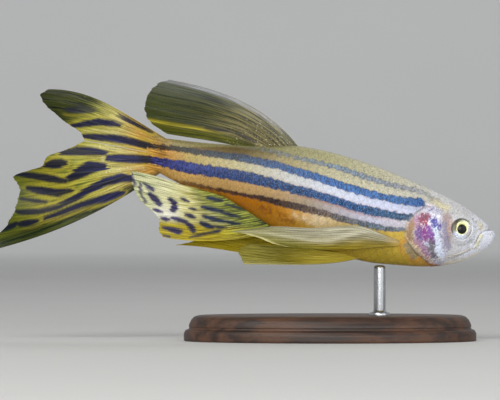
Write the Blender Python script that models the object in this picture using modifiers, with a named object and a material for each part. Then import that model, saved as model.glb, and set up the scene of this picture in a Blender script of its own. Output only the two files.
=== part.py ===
"""Long-finned zebra danio (Danio rerio), a life-size still model on a display stand.

The fish is modelled in its own frame, in millimetres: x runs from the tail base (0) to the
snout (40), y to the fish's left, z towards its back. An empty then pitches it nose down and
lifts it over the stand. Every mesh is made in metres.
"""

import math

import bmesh
import bpy
import numpy as np
from mathutils import Matrix, Vector

MM = 0.001

# Driving dimensions, in millimetres
LENGTH = 40.0  # standard length: snout to tail base
GAP = 0.3  # between neighbouring pieces
HALF_GAP = GAP / 2
MEMBRANE = 0.5  # fin membrane
RAY = 0.78  # fin over a ray
TIP_SHARE = 0.55  # of the thickness, left at a fin's margin
TIP_FROM = 0.75  # of the way out along a ray, where it starts to thin
ROOT_CLOSER = 1.35  # draws a fin's rows of mesh towards its root
PLATE = 0.8  # gill cover
PLATE_RISE = 0.12  # of the gill cover over the head
EYE_RADIUS = 1.25
EYE_DEPTH = 0.8
NOSTRIL_RADIUS = 0.27
LIP_RADIUS = 0.3
BARBEL_RADIUS, BARBEL_TIP = 0.26, 0.1

# Pose and stand
PITCH = math.radians(13.75)
TAIL_BASE = (-19.76, 0.0, 21.6)  # the fish frame's origin over the base's middle
BASE_SIZE = (34.0, 20.0, 3.0)
BASE_EDGE = 0.6
ROD_RADIUS = 0.7
ROD_STATION = 27.8  # where the rod meets the belly, along the fish
ROD_SOCKET = 1.4  # depth of the base's hole for the rod

# The body's profiles, as (station, height) or (station, half-width)
BACK = [(0, 2.05), (4, 2.55), (8, 3.2), (12, 3.95), (15.5, 4.88), (19, 5.05), (23, 4.87), (27.5, 4.33),
        (32.5, 3.43), (35.5, 2.7), (37.5, 1.88), (38.7, 1.3), (39.4, 0.75), (39.85, 0.25), (40, -0.2)]
BELLY = [(0, -1.95), (2, -2.5), (4.5, -2.95), (7.5, -2.9), (10.5, -3.66), (14, -4.85), (18, -5.95), (22, -6.47),
         (26, -6.4), (30, -5.88), (33.5, -5.2), (36, -4.2), (38, -2.9), (39.3, -1.65), (39.85, -0.8), (40, -0.2)]
FLANK = [(0, 0.5), (3, 0.95), (8, 1.6), (13, 2.15), (18, 2.65), (23, 2.95), (28, 3.0), (32, 2.85), (35, 2.45),
         (37, 2.0), (38.5, 1.45), (39.4, 0.9), (39.85, 0.45), (40, 0.06)]
WIDEST = [(0, 0.0), (10, -0.1), (20, -0.5), (31, -1.0), (36, -0.5), (39, -0.2), (40, -0.2)]
SWAY_FROM, SWAY = 14.0, 0.9  # the tail swings to the left behind this station, by this at its base
STALK_FRONT = 7.0  # where the tail stalk meets the trunk
FORK = 0.0  # height of the tail fin's parting at its root
STATIONS, ROUND = 30, 26  # rings along the body, points round each

# Outlines on the head, seen from the side
GILL_OPENING = [(31.2, 9), (31.4, 3.3), (31.3, 1.6), (30.6, 0.7), (29.9, -0.3), (29.6, -1.5), (29.9, -2.6),
                (30.8, -3.5), (32.0, -4.25), (33.2, -4.8), (34.2, -5.6), (34.6, -9)]
GILL_FRONT = [(28.0, 1.45), (32.2, 1.5), (33.3, 1.1), (33.5, 0.1), (33.7, -1.1), (34.2, -2.2), (34.8, -3.2),
              (34.95, -4.0), (34.3, -4.7), (33.4, -5.0), (28.0, -5.0)]
GILL_INNER = 0.6  # the gill covers stay this far off the middle
JAW_LINE = [(42.0, 1.1), (39.6, 0.75), (39.05, 0.6), (38.5, 0.2), (38.2, -0.5), (38.05, -1.3), (37.6, -2.2),
            (36.9, -2.85), (36.3, -3.3), (35.9, -3.9), (35.75, -4.7), (35.7, -9)]
MOUTH = [(37.9, -1.45), (38.1, -0.7), (38.35, 0.05), (38.75, 0.45), (39.3, 0.66)]  # corner to tip
EYE = (36.05, -0.04)
EYE_SIDE = 1.55  # the eyeball's middle, off the fish's middle
NOSTRILS = [(37.45, 1.2), (37.0, 1.45)]

FISH = bpy.data.collections.new("zebra_danio")
CUTTERS = bpy.data.collections.new("cutters")


def curve(points):
    """A smooth function through (at, value) points that never overshoots them."""
    at, value = (np.array(column, float) for column in zip(*points))
    secant = np.diff(value) / np.diff(at)
    slope = np.concatenate([secant[:1], np.zeros(len(at) - 2), secant[-1:]])
    for i in range(1, len(at) - 1):
        if secant[i - 1] * secant[i] > 0:
            slope[i] = 2 / (1 / secant[i - 1] + 1 / secant[i])

    def read(x):
        i = int(np.clip(np.searchsorted(at, x) - 1, 0, len(secant) - 1))
        step = at[i + 1] - at[i]
        t = min(max((x - at[i]) / step, 0.0), 1.0)
        start = value[i] * (1 + 2 * t) * (1 - t) ** 2 + step * slope[i] * t * (1 - t) ** 2
        return start + value[i + 1] * t * t * (3 - 2 * t) + step * slope[i + 1] * t * t * (t - 1)

    return read


back, belly, flank, widest = (curve(points) for points in (BACK, BELLY, FLANK, WIDEST))


def sway(x):
    """How far the fish's middle swings to its left at a station."""
    return SWAY * (max(SWAY_FROM - x, 0.0) / SWAY_FROM) ** 2


def half_width(x, z):
    """The body's half-width at a station and a height, 0 outside it."""
    middle = widest(x)
    reach = back(x) - middle if z > middle else middle - belly(x)
    return flank(x) * math.sqrt(max(1 - ((z - middle) / max(reach, 0.01)) ** 2, 0.0))


def new_object(name, mesh, collection=FISH):
    made = bpy.data.objects.new(name, mesh)
    collection.objects.link(made)
    if collection is CUTTERS:
        made.hide_render = True
        made.display_type = "WIRE"
    return made


def from_bmesh(name, bm, collection=CUTTERS):
    bmesh.ops.recalc_face_normals(bm, faces=bm.faces)
    mesh = bpy.data.meshes.new(name)
    bm.to_mesh(mesh)
    bm.free()
    return new_object(name, mesh, collection)


def loft(name, grow=0.0):
    """The whole body as one closed loft, its surface moved out by grow."""
    bm = bmesh.new()
    rings = []
    for t in np.linspace(0, 1, STATIONS):
        x = min(LENGTH * (1 - (1 - t) ** 1.6), LENGTH - 0.02)
        place = x + grow * (2 * x / LENGTH - 1)
        up, down = (max(abs(side(x) - widest(x)) + grow, 0.03) for side in (back, belly))
        wide = max(flank(x) + grow, 0.03)
        ring = []
        for k in range(ROUND):
            angle = 2 * math.pi * k / ROUND
            rise = math.cos(angle) * (up if math.cos(angle) > 0 else down)
            spot = (place, sway(place) + wide * math.sin(angle), widest(x) + rise)
            ring.append(bm.verts.new(Vector(spot) * MM))
        rings.append(ring)
    for near, far in zip(rings, rings[1:]):
        for k in range(ROUND):
            bm.faces.new((near[k], far[k], far[k - 1], near[k - 1]))
    bm.faces.new(rings[0])
    bm.faces.new(rings[-1])
    return from_bmesh(name, bm)


def smooth_line(points, per_span=4):
    """More points along a line, on a smooth path through the given ones."""
    index = range(len(points))
    tracks = [curve(list(zip(index, column))) for column in zip(*points)]
    steps = np.linspace(0, len(points) - 1, per_span * (len(points) - 1) + 1)
    return [tuple(track(s) for track in tracks) for s in steps]


def moved_line(points, by):
    """A line in the side view, moved by this to its left as it is followed."""
    track = np.array(points, float)
    along = np.gradient(track, axis=0)
    along /= np.linalg.norm(along, axis=1)[:, None]
    return [tuple(p) for p in track + by * np.column_stack([-along[:, 1], along[:, 0]])]


def prism(name, outline, low, high):
    """A side-view outline carried across the fish from y low to y high."""
    bm = bmesh.new()
    verts = [bm.verts.new(Vector((x, low, z)) * MM) for x, z in outline]
    bottom = bm.faces.new(verts)
    raised = bmesh.ops.extrude_face_region(bm, geom=[bottom])["geom"]
    top = [v for v in raised if isinstance(v, bmesh.types.BMVert)]
    bmesh.ops.translate(bm, verts=top, vec=Vector((0, high - low, 0)) * MM)
    return from_bmesh(name, bm)


def ball(name, at, radii, segments=18):
    bm = bmesh.new()
    bmesh.ops.create_uvsphere(bm, u_segments=segments, v_segments=segments // 2, radius=MM)
    bmesh.ops.scale(bm, verts=bm.verts, vec=radii)
    bmesh.ops.translate(bm, verts=bm.verts, vec=Vector(at) * MM)
    return from_bmesh(name, bm)


def tube(name, points, radii, collection=CUTTERS):
    """A round tube through the points, as thick as radii say, as a closed mesh."""
    data = bpy.data.curves.new(name, "CURVE")
    data.dimensions = "3D"
    data.bevel_depth = MM
    data.bevel_resolution = 1
    data.use_fill_caps = True
    spline = data.splines.new("POLY")
    spline.points.add(len(points) - 1)
    for spot, at, radius in zip(spline.points, points, radii):
        spot.co = (*(Vector(at) * MM), 1)
        spot.radius = radius
    guide = new_object(name + "_guide", data, CUTTERS)
    mesh = evaluated_mesh(guide)
    bpy.data.objects.remove(guide)
    bm = bmesh.new()
    bm.from_mesh(mesh)
    bmesh.ops.remove_doubles(bm, verts=bm.verts, dist=0.002 * MM)
    return from_bmesh(name, bm, collection)


def evaluated_mesh(thing):
    bpy.context.view_layer.update()
    graph = bpy.context.evaluated_depsgraph_get()
    return bpy.data.meshes.new_from_object(thing.evaluated_get(graph))


def apply_modifiers(thing):
    mesh = evaluated_mesh(thing)
    thing.modifiers.clear()
    thing.data = mesh


def combine(thing, operation, other):
    """One Boolean of thing with other, applied."""
    modifier = thing.modifiers.new(operation.lower(), "BOOLEAN")
    modifier.operation = operation
    modifier.object = other
    apply_modifiers(thing)
    return thing


def copy_of(thing, name, collection=FISH):
    return new_object(name, thing.data.copy(), collection)


def keep_largest(thing):
    """Drops all but the thing's largest closed surface."""
    bm = bmesh.new()
    bm.from_mesh(thing.data)
    left, islands = set(bm.faces), []
    while left:
        island, edge = set(), [left.pop()]
        while edge:
            face = edge.pop()
            island.add(face)
            near = {f for e in face.edges for f in e.link_faces} & left
            left -= near
            edge.extend(near)
        islands.append(island)
    largest = max(islands, key=lambda faces: sum(f.calc_area() for f in faces))
    scraps = [f for island in islands if island is not largest for f in island]
    bmesh.ops.delete(bm, geom=scraps, context="FACES")
    bm.to_mesh(thing.data)
    bm.free()


def paint(thing, colour, roughness, metallic=0.0):
    material = bpy.data.materials.new(thing.name)
    material.use_nodes = True
    shader = material.node_tree.nodes["Principled BSDF"]
    shader.inputs["Base Color"].default_value = (*colour, 1)
    shader.inputs["Roughness"].default_value = roughness
    shader.inputs["Metallic"].default_value = metallic
    thing.data.materials.clear()
    thing.data.materials.append(material)
    thing.data.shade_smooth()
    thing.data.set_sharp_from_angle(angle=math.radians(38))


def mouth_path():
    """The line of the mouth on the skin, from the right corner round the tip to the left."""
    side = [(x, half_width(x, z), z) for x, z in MOUTH]
    side[-1] = (side[-1][0], 0.0, side[-1][2])
    return smooth_line([(x, -y, z) for x, y, z in side] + [(x, y, z) for x, y, z in side[-2::-1]], 3)


def build_flesh():
    """Head, lower jaw, gill covers, trunk and tail stalk, parted by thin cuts."""
    whole = loft("whole")
    lips_path = mouth_path()
    middle = (len(lips_path) - 1) / 2
    fullness = [LIP_RADIUS * (1 - 0.45 * abs(i / middle - 1) ** 2) for i in range(len(lips_path))]
    lips = tube("lips", lips_path, fullness)
    combine(whole, "UNION", lips)

    opening = smooth_line(GILL_OPENING)
    jaw = smooth_line(JAW_LINE)
    ahead = prism("ahead", moved_line(opening, HALF_GAP) + [(45, -9), (45, 9)], -8, 8)
    behind = prism("behind", moved_line(opening, -HALF_GAP) + [(STALK_FRONT, -9), (STALK_FRONT, 9)], -8, 8)
    over_jaw = prism("over_jaw", moved_line(jaw, -HALF_GAP) + [(20, -9), (20, 9), (42, 9)], -8, 8)
    under_jaw = prism("under_jaw", moved_line(jaw, HALF_GAP) + [(42, -9)], -8, 8)
    stalk = prism("stalk", [(-3, -9), (STALK_FRONT - GAP, -9), (STALK_FRONT - GAP, 9), (-3, 9)], -8, 8)

    head = combine(copy_of(whole, "head"), "INTERSECT", ahead)
    lower_jaw = combine(copy_of(head, "lower_jaw"), "INTERSECT", under_jaw)
    combine(head, "INTERSECT", over_jaw)
    trunk = combine(copy_of(whole, "trunk"), "INTERSECT", behind)
    tail_stalk = combine(copy_of(whole, "tail_stalk"), "INTERSECT", stalk)

    proud = loft("proud", PLATE_RISE)
    plate_back = loft("plate_back", -PLATE)
    hollow_back = loft("hollow_back", -PLATE - GAP)
    plates = []
    front = smooth_line(GILL_FRONT, 2)
    for side, name in ((-1, "right"), (1, "left")):
        near, far = sorted((side * GILL_INNER, side * 8))
        plate = copy_of(proud, "gill_cover_" + name)
        outline = prism("plate_outline", moved_line(front, -HALF_GAP), near, far)
        combine(plate, "INTERSECT", outline)
        combine(plate, "INTERSECT", ahead)
        combine(plate, "DIFFERENCE", plate_back)
        keep_largest(plate)
        plates.append(plate)
        near, far = sorted((side * (GILL_INNER - GAP), side * 8))
        pocket = prism("pocket", moved_line(front, HALF_GAP), near, far)
        combine(pocket, "DIFFERENCE", hollow_back)
        combine(head, "DIFFERENCE", pocket)
        socket_radii = (EYE_RADIUS + GAP, EYE_DEPTH + GAP, EYE_RADIUS + GAP)
        combine(head, "DIFFERENCE", ball("socket", (EYE[0], side * EYE_SIDE, EYE[1]), socket_radii))
        for x, z in NOSTRILS:
            pit = (x, side * (half_width(x, z) - 0.02), z)
            combine(head, "DIFFERENCE", ball("pit", pit, [NOSTRIL_RADIUS] * 3, 10))
    for piece in (head, lower_jaw, trunk, tail_stalk):
        keep_largest(piece)
    paint(head, (0.66, 0.64, 0.58), 0.35)
    paint(lower_jaw, (0.68, 0.66, 0.64), 0.35)
    paint(trunk, (0.33, 0.37, 0.5), 0.35)
    paint(tail_stalk, (0.4, 0.38, 0.42), 0.35)
    for plate in plates:
        paint(plate, (0.6, 0.45, 0.58), 0.25, 0.2)


def build_eyes():
    for side, name in ((-1, "right"), (1, "left")):
        at = (EYE[0], side * EYE_SIDE, EYE[1])
        eye = copy_of(ball("eyeball", at, (EYE_RADIUS, EYE_DEPTH, EYE_RADIUS)), "eye_" + name)
        paint(eye, (0.05, 0.05, 0.05), 0.1)


def build_barbels(skin):
    """Two pairs of feelers: long ones at the corners of the mouth, short ones on the snout."""
    runs = {
        "barbel_maxillary": [(37.5, -0.5, -2.0), (37.35, 0.35, -2.2), (36.8, 0.62, -2.65), (36.0, 0.6, -3.15),
                             (35.2, 0.55, -3.6), (34.5, 0.6, -4.0)],
        "barbel_rostral": [(38.3, -0.4, 1.0), (38.25, 0.3, 0.9), (38.1, 0.58, 0.65), (37.85, 0.62, 0.3),
                           (37.55, 0.6, -0.1), (37.25, 0.6, -0.5)],
    }
    for side, name in ((-1, "right"), (1, "left")):
        for kind, run in runs.items():
            path = smooth_line([(x, side * (half_width(x, z) + off), z) for x, off, z in run], 2)
            radii = np.linspace(BARBEL_RADIUS, BARBEL_TIP, len(path))
            barbel = tube(f"{kind}_{name}", path, radii, FISH)
            combine(barbel, "DIFFERENCE", skin)
            keep_largest(barbel)
            paint(barbel, (0.72, 0.66, 0.45), 0.4)


def fin(name, base, margin, leave, arrive, rays, rows, lateral, colour, skin, reach=0.36):
    """A fin whose rays run from its base line to its margin, each over a ridge on the membrane.

    base and margin are (u, x, z) across the rays. leave and arrive are (u, degrees): a ray's
    direction at its root and its tip. lateral gives y from u, v and the spot.
    """
    tracks = [curve([(p[0], p[i]) for p in points]) for points in (base, margin) for i in (1, 2)]
    leaving, arriving = curve(leave), curve(arrive)
    columns = 2 * rays - 1  # rays and the valleys between them
    bm = bmesh.new()
    weights = []
    grid = []
    for column in range(columns):
        u = column / (columns - 1)
        root = Vector((tracks[0](u), tracks[1](u)))
        tip = Vector((tracks[2](u), tracks[3](u)))
        far = (tip - root).length
        out, end = math.radians(leaving(u)), math.radians(arriving(u))
        bends = [root + reach * far * Vector((math.cos(out), math.sin(out))),
                 tip - reach * far * Vector((math.cos(end), math.sin(end)))]
        line = []
        for row in range(rows + 1):
            v = (row / rows) ** ROOT_CLOSER
            x, z = (root * (1 - v) ** 3 + bends[0] * 3 * v * (1 - v) ** 2
                    + bends[1] * 3 * v * v * (1 - v) + tip * v ** 3)
            line.append(bm.verts.new(Vector((x, lateral(u, v, x, z), z)) * MM))
            thin = 1 - (1 - TIP_SHARE) * max(v - TIP_FROM, 0) / (1 - TIP_FROM)
            weights.append(thin * (MEMBRANE / RAY if column % 2 else 1.0))
        grid.append(line)
    for near, far in zip(grid, grid[1:]):
        for row in range(rows):
            a, b, c, d = near[row], far[row], far[row + 1], near[row + 1]
            bm.faces.new((a, b, c))
            bm.faces.new((a, c, d))
    mesh = bpy.data.meshes.new(name)
    bm.to_mesh(mesh)
    bm.free()
    made = new_object(name, mesh)
    group = made.vertex_groups.new(name="thickness")
    for index, weight in enumerate(weights):
        group.add([index], weight, "REPLACE")
    shell = made.modifiers.new("membrane", "SOLIDIFY")
    shell.thickness = RAY * MM
    shell.offset = 0
    shell.vertex_group = "thickness"
    apply_modifiers(made)
    combine(made, "DIFFERENCE", skin)
    keep_largest(made)
    paint(made, colour, 0.45)
    return made


def build_middle_fins(skin):
    sunk = 0.6  # the base lines start this far inside the body
    fin("dorsal_fin",
        base=[(u, x, back(x) - sunk) for u, x in ((0, 15.9), (0.5, 13.4), (1, 10.9))],
        margin=[(0, -1.1, 8.75), (0.12, -2.1, 8.2), (0.25, -2.8, 7.3), (0.42, -3.2, 6.1), (0.56, -3.2, 5.2),
                (0.7, -2.8, 4.2), (0.83, -2.1, 3.45), (0.92, -1.1, 3.0), (1, 0.2, 2.75)],
        leave=[(0, 138), (0.5, 150), (1, 176)],
        arrive=[(0, 184), (0.5, 180), (1, 183)],
        rays=9, rows=9,
        lateral=lambda u, v, x, z: 0.25 * v * math.sin(5 * u + 2.5 * v) + 0.5 * v * v,
        colour=(0.42, 0.42, 0.28), skin=skin)
    fin("anal_fin",
        base=[(u, x, belly(x) + sunk) for u, x in ((0, 16.2), (0.5, 11.8), (1, 7.4))],
        margin=[(0, 2.5, -9.2), (0.12, 1.85, -8.5), (0.25, 1.75, -7.6), (0.37, 1.2, -6.9), (0.5, 0.1, -6.3),
                (0.62, -1.2, -5.5), (0.75, -2.0, -4.6), (0.88, -2.55, -3.7), (1, -2.8, -2.7)],
        leave=[(0, 208), (0.5, 207), (0.8, 208), (1, 200)],
        arrive=[(0, 183), (0.5, 183), (0.8, 178), (1, 190)],
        rays=14, rows=9,
        lateral=lambda u, v, x, z: -0.7 * v * v + 0.3 * v * math.sin(7 * u + 1.5),
        colour=(0.62, 0.58, 0.25), skin=skin)
    lobes = dict(lateral=lambda u, v, x, z: sway(x) + 0.5 * v * math.sin(0.9 * z + 1.5) * v,
                 colour=(0.55, 0.5, 0.25), skin=skin)
    fin("caudal_fin_upper",
        base=[(0, 0.7, 1.9), (0.5, 0.7, 1.0), (1, 0.7, FORK + HALF_GAP)],
        margin=[(0, -14.7, 4.35), (0.12, -15.45, 3.5), (0.25, -14.7, 2.6), (0.42, -13.1, 1.75),
                (0.62, -11.4, 0.95), (0.8, -9.9, 0.45), (1, -9.1, -0.28)],
        leave=[(0, 164), (0.5, 174), (1, 181)],
        arrive=[(0, 195), (0.4, 186), (1, 184)],
        rays=10, rows=9, **lobes)
    fin("caudal_fin_lower",
        base=[(0, 0.7, FORK - HALF_GAP), (0.5, 0.7, -0.9), (1, 0.7, -1.8)],
        margin=[(0, -9.1, -0.66), (0.12, -11.2, -2.2), (0.22, -12.9, -3.3), (0.28, -13.2, -4.4),
                (0.38, -14.8, -5.5), (0.47, -16.3, -6.6), (0.54, -15.1, -7.9), (0.64, -15.1, -9.6),
                (0.75, -15.5, -11.7), (0.88, -16.8, -14.1), (1, -18.4, -16.4)],
        leave=[(0, 181), (0.5, 202), (1, 229)],
        arrive=[(0, 184), (0.4, 197), (1, 206)],
        rays=9, rows=11, **lobes)


def build_paired_fins(skin):
    flank_root = 2.1  # the pectoral's root, inside the flank
    blade_out = 1.35  # how far it turns out of the body before it runs back
    for side, name in ((-1, "right"), (1, "left")):
        fin("pectoral_fin_" + name,
            base=[(0, 29.6, -2.75), (0.5, 29.8, -3.3), (1, 30.1, -3.9)],
            margin=[(0, 9.9, -6.75), (0.3, 11.4, -6.55), (0.55, 13.2, -6.6), (0.8, 15.0, -6.85),
                    (1, 16.6, -6.8)],
            leave=[(0, 178), (0.5, 183), (1, 196)],
            arrive=[(0, 203), (0.5, 190), (1, 186)],
            rays=11, rows=10,
            lateral=lambda u, v, x, z, s=side: s * (flank_root + blade_out * (1 - math.exp(-v / 0.05))
                                                    + 1.1 * v + 0.2 * v * math.sin(4 * u + 5 * v)),
            colour=(0.72, 0.7, 0.5), skin=skin, reach=0.45)
    for side, name, ends in ((-1, "right", [(0, 12.4, -10.0), (0.25, 11.9, -9.3), (0.5, 11.5, -8.8),
                                            (0.75, 11.7, -8.2), (1, 12.6, -7.5)]),
                             (1, "left", [(0, 4.1, -9.8), (0.25, 5.9, -8.95), (0.5, 6.7, -8.3),
                                          (0.75, 7.6, -7.6), (1, 8.6, -6.9)])):
        fin("pelvic_fin_" + name,
            base=[(0, 25.7, -5.9), (0.5, 25.2, -5.85), (1, 24.6, -5.8)],
            margin=ends,
            leave=[(0, 212), (0.5, 206), (1, 188)],
            arrive=[(0, 194), (0.5, 186), (1, 190)],
            rays=8, rows=9,
            lateral=lambda u, v, x, z, s=side: s * (0.75 + 1.5 * v - 0.35 * u * v + 0.15 * math.sin(6 * v)),
            colour=(0.7, 0.62, 0.15), skin=skin, reach=0.3)


def build_stand(pose, skin):
    """An oval base and a rod up to the belly."""
    long, deep, tall = BASE_SIZE
    bm = bmesh.new()
    bmesh.ops.create_cone(bm, cap_ends=True, segments=44, radius1=0.5, radius2=0.5, depth=tall * MM)
    bmesh.ops.scale(bm, verts=bm.verts, vec=(long * MM, deep * MM, 1))
    bmesh.ops.translate(bm, verts=bm.verts, vec=(0, 0, tall / 2 * MM))
    base = from_bmesh("stand_base", bm, FISH)
    edge = base.modifiers.new("edge", "BEVEL")
    edge.width = BASE_EDGE * MM
    edge.segments = 2
    apply_modifiers(base)

    foot = pose @ (Vector((ROD_STATION, sway(ROD_STATION), belly(ROD_STATION))) * MM)
    low, high = (tall - ROD_SOCKET + GAP) * MM, foot.z + MM
    bm = bmesh.new()
    bmesh.ops.create_cone(bm, cap_ends=True, segments=20, radius1=ROD_RADIUS * MM, radius2=ROD_RADIUS * MM,
                          depth=high - low)
    bmesh.ops.translate(bm, verts=bm.verts, vec=(foot.x, foot.y, (low + high) / 2))
    rod = from_bmesh("stand_rod", bm, FISH)
    combine(rod, "DIFFERENCE", skin)
    keep_largest(rod)

    bm = bmesh.new()
    bmesh.ops.create_cone(bm, cap_ends=True, segments=20, radius1=(ROD_RADIUS + GAP) * MM,
                          radius2=(ROD_RADIUS + GAP) * MM, depth=2 * ROD_SOCKET * MM)
    bmesh.ops.translate(bm, verts=bm.verts, vec=(foot.x, foot.y, tall * MM))
    combine(base, "DIFFERENCE", from_bmesh("rod_hole", bm))
    paint(base, (0.1, 0.07, 0.05), 0.4)
    paint(rod, (0.6, 0.6, 0.6), 0.3, 1.0)


def main():
    for thing in list(bpy.data.objects):
        bpy.data.objects.remove(thing)
    for collection in (FISH, CUTTERS):
        bpy.context.scene.collection.children.link(collection)
    CUTTERS.hide_render = True

    skin = loft("skin_with_gap", GAP)
    build_flesh()
    build_eyes()
    build_barbels(skin)
    build_middle_fins(skin)
    build_paired_fins(skin)

    pose = Matrix.Translation(Vector(TAIL_BASE) * MM) @ Matrix.Rotation(PITCH, 4, "Y")
    posed = bpy.data.objects.new("fish_pose", None)
    FISH.objects.link(posed)
    posed.matrix_world = pose
    for piece in list(FISH.objects) + [skin]:
        if piece is not posed:
            piece.parent = posed
    build_stand(pose, skin)
    for cutter in list(CUTTERS.objects):
        bpy.data.objects.remove(cutter)


main()
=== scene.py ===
"""The looks of a long-finned zebra danio on its display stand.

The fish's pieces are meshed in its own frame, in millimetres: x runs from the tail base (0) to
the snout (40), y to the fish's left and z towards its back. Markings are laid out in the points
of a side view 500 points wide, which is the camera's picture.
"""

import math

import bpy
import numpy as np
from mathutils import Matrix, Vector


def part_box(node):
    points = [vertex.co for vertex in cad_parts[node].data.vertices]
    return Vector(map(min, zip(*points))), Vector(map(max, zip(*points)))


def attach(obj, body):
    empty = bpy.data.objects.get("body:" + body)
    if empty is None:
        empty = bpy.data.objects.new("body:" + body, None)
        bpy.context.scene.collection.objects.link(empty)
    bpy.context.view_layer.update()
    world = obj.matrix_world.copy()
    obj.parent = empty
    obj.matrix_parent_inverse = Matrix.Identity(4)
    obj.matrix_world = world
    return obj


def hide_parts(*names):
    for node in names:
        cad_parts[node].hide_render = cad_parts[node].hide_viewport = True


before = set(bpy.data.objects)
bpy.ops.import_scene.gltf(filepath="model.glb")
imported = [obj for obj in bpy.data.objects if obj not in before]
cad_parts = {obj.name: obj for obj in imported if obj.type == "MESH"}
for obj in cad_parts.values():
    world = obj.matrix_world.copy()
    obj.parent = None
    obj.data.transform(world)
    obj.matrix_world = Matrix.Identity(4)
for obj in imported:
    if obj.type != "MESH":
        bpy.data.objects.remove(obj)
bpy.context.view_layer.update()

MM = 0.001
BODY = "root"
SIDES = ((-1, "right"), (1, "left"))
rng = np.random.default_rng(7)

# Pose, as in the solids
PITCH = math.radians(13.75)
TAIL_BASE = (-19.76, 0.0, 21.6)
POSE = Matrix.Translation(Vector(TAIL_BASE) * MM) @ Matrix.Rotation(PITCH, 4, "Y")

# The side view: its points are this many millimetres, and the tail base is at this point
POINT = 0.116215
ORIGIN_POINT = (160.0, 155.0)
VIEW_SIZE = (500, 400)

# The body's profiles, as in the solids
BACK = [(0, 2.05), (4, 2.55), (8, 3.2), (12, 3.95), (15.5, 4.88), (19, 5.05), (23, 4.87), (27.5, 4.33),
        (32.5, 3.43), (35.5, 2.7), (37.5, 1.88), (38.7, 1.3), (39.4, 0.75), (39.85, 0.25), (40, -0.2)]
BELLY = [(0, -1.95), (2, -2.5), (4.5, -2.95), (7.5, -2.9), (10.5, -3.66), (14, -4.85), (18, -5.95),
         (22, -6.47), (26, -6.4), (30, -5.88), (33.5, -5.2), (36, -4.2), (38, -2.9), (39.3, -1.65),
         (39.85, -0.8), (40, -0.2)]
FLANK = [(0, 0.5), (3, 0.95), (8, 1.6), (13, 2.15), (18, 2.65), (23, 2.95), (28, 3.0), (32, 2.85),
         (35, 2.45), (37, 2.0), (38.5, 1.45), (39.4, 0.9), (39.85, 0.45), (40, 0.06)]
WIDEST = [(0, 0.0), (10, -0.1), (20, -0.5), (31, -1.0), (36, -0.5), (39, -0.2), (40, -0.2)]
SWAY_FROM, SWAY = 14.0, 0.9
LENGTH = 40.0

GILL_OPENING = [(31.2, 9), (31.4, 3.3), (31.3, 1.6), (30.6, 0.7), (29.9, -0.3), (29.6, -1.5), (29.9, -2.6),
                (30.8, -3.5), (32.0, -4.25), (33.2, -4.8), (34.2, -5.6), (34.6, -9)]
GILL_FRONT = [(31.35, 1.5), (32.2, 1.5), (33.3, 1.1), (33.5, 0.1), (33.7, -1.1), (34.2, -2.2), (34.8, -3.2),
              (34.95, -4.0), (34.3, -4.7), (33.4, -4.95)]
JAW_LINE = [(38.05, -1.3), (37.6, -2.2), (36.9, -2.85), (36.3, -3.3), (35.9, -3.9), (35.75, -4.7)]
MOUTH = [(37.9, -1.45), (38.1, -0.7), (38.35, 0.05), (38.75, 0.45), (39.3, 0.66), (40.4, 0.95)]
EYE = (35.98, -0.05)
EYE_FACING = (0.17, 0.97, 0.1)
EYE_RADIUS = 1.2
PUPIL_RADIUS = 0.55
NOSTRILS = [(37.5, 1.2), (37.08, 1.42)]


def smooth(x, low, high):
    t = np.clip((x - low) / (high - low), 0, 1)
    return t * t * (3 - 2 * t)


def fade(x, low, high):
    return 1 - smooth(x, low, high)


def bell(x, width):
    return np.exp(-((x / width) ** 2))


def lerp(a, b, share):
    return a + (b - a) * share


def turns(count):
    """Angles once round a circle."""
    return np.arange(count) / count * 2 * math.pi


def curve(points):
    """A smooth function through (at, value) points that never overshoots them."""
    at, value = np.array(points, float).T
    secant = np.diff(value) / np.diff(at)
    slope = np.concatenate([secant[:1], np.zeros(len(at) - 2), secant[-1:]])
    for i in range(1, len(at) - 1):
        if secant[i - 1] * secant[i] > 0:
            slope[i] = 2 / (1 / secant[i - 1] + 1 / secant[i])

    def read(x):
        x = np.asarray(x, float)
        i = np.clip(np.searchsorted(at, x) - 1, 0, len(secant) - 1)
        step = at[i + 1] - at[i]
        t = np.clip((x - at[i]) / step, 0, 1)
        left = value[i] * (1 + 2 * t) * (1 - t) ** 2 + step * slope[i] * t * (1 - t) ** 2
        return left + value[i + 1] * t * t * (3 - 2 * t) + step * slope[i + 1] * t * t * (t - 1)

    return read


back, belly, flank, widest = (curve(points) for points in (BACK, BELLY, FLANK, WIDEST))


def round_line(points, per_span=5):
    """A line of points made smooth."""
    at = np.arange(len(points))
    steps = np.linspace(0, len(points) - 1, per_span * (len(points) - 1) + 1)
    return list(zip(*(curve(list(zip(at, column)))(steps) for column in zip(*points))))


def sway(x):
    return SWAY * (np.maximum(SWAY_FROM - x, 0) / SWAY_FROM) ** 2


def half_width(x, z):
    reach = np.where(z > widest(x), back(x) - widest(x), widest(x) - belly(x))
    return flank(x) * np.sqrt(np.clip(1 - ((z - widest(x)) / np.maximum(reach, 0.01)) ** 2, 0, 1))


def to_view(x, z):
    """The point of the side view where the fish's (x, z) shows."""
    c, s = math.cos(PITCH), math.sin(PITCH)
    return ORIGIN_POINT[0] + (x * c + z * s) / POINT, ORIGIN_POINT[1] + (x * s - z * c) / POINT


def stretch_gap(px, py, start, end):
    """How far points lie from a straight stretch, and how far along it they are."""
    ax, ay = start[:2]
    ex, ey = end[0] - ax, end[1] - ay
    t = np.clip(((px - ax) * ex + (py - ay) * ey) / (ex * ex + ey * ey + 1e-12), 0, 1)
    return np.hypot(px - ax - t * ex, py - ay - t * ey), t


def distance(px, py, line):
    """How far points lie from a line of straight stretches."""
    best = np.inf
    for start, end in zip(line, line[1:]):
        best = np.minimum(best, stretch_gap(px, py, start, end)[0])
    return best


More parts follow.
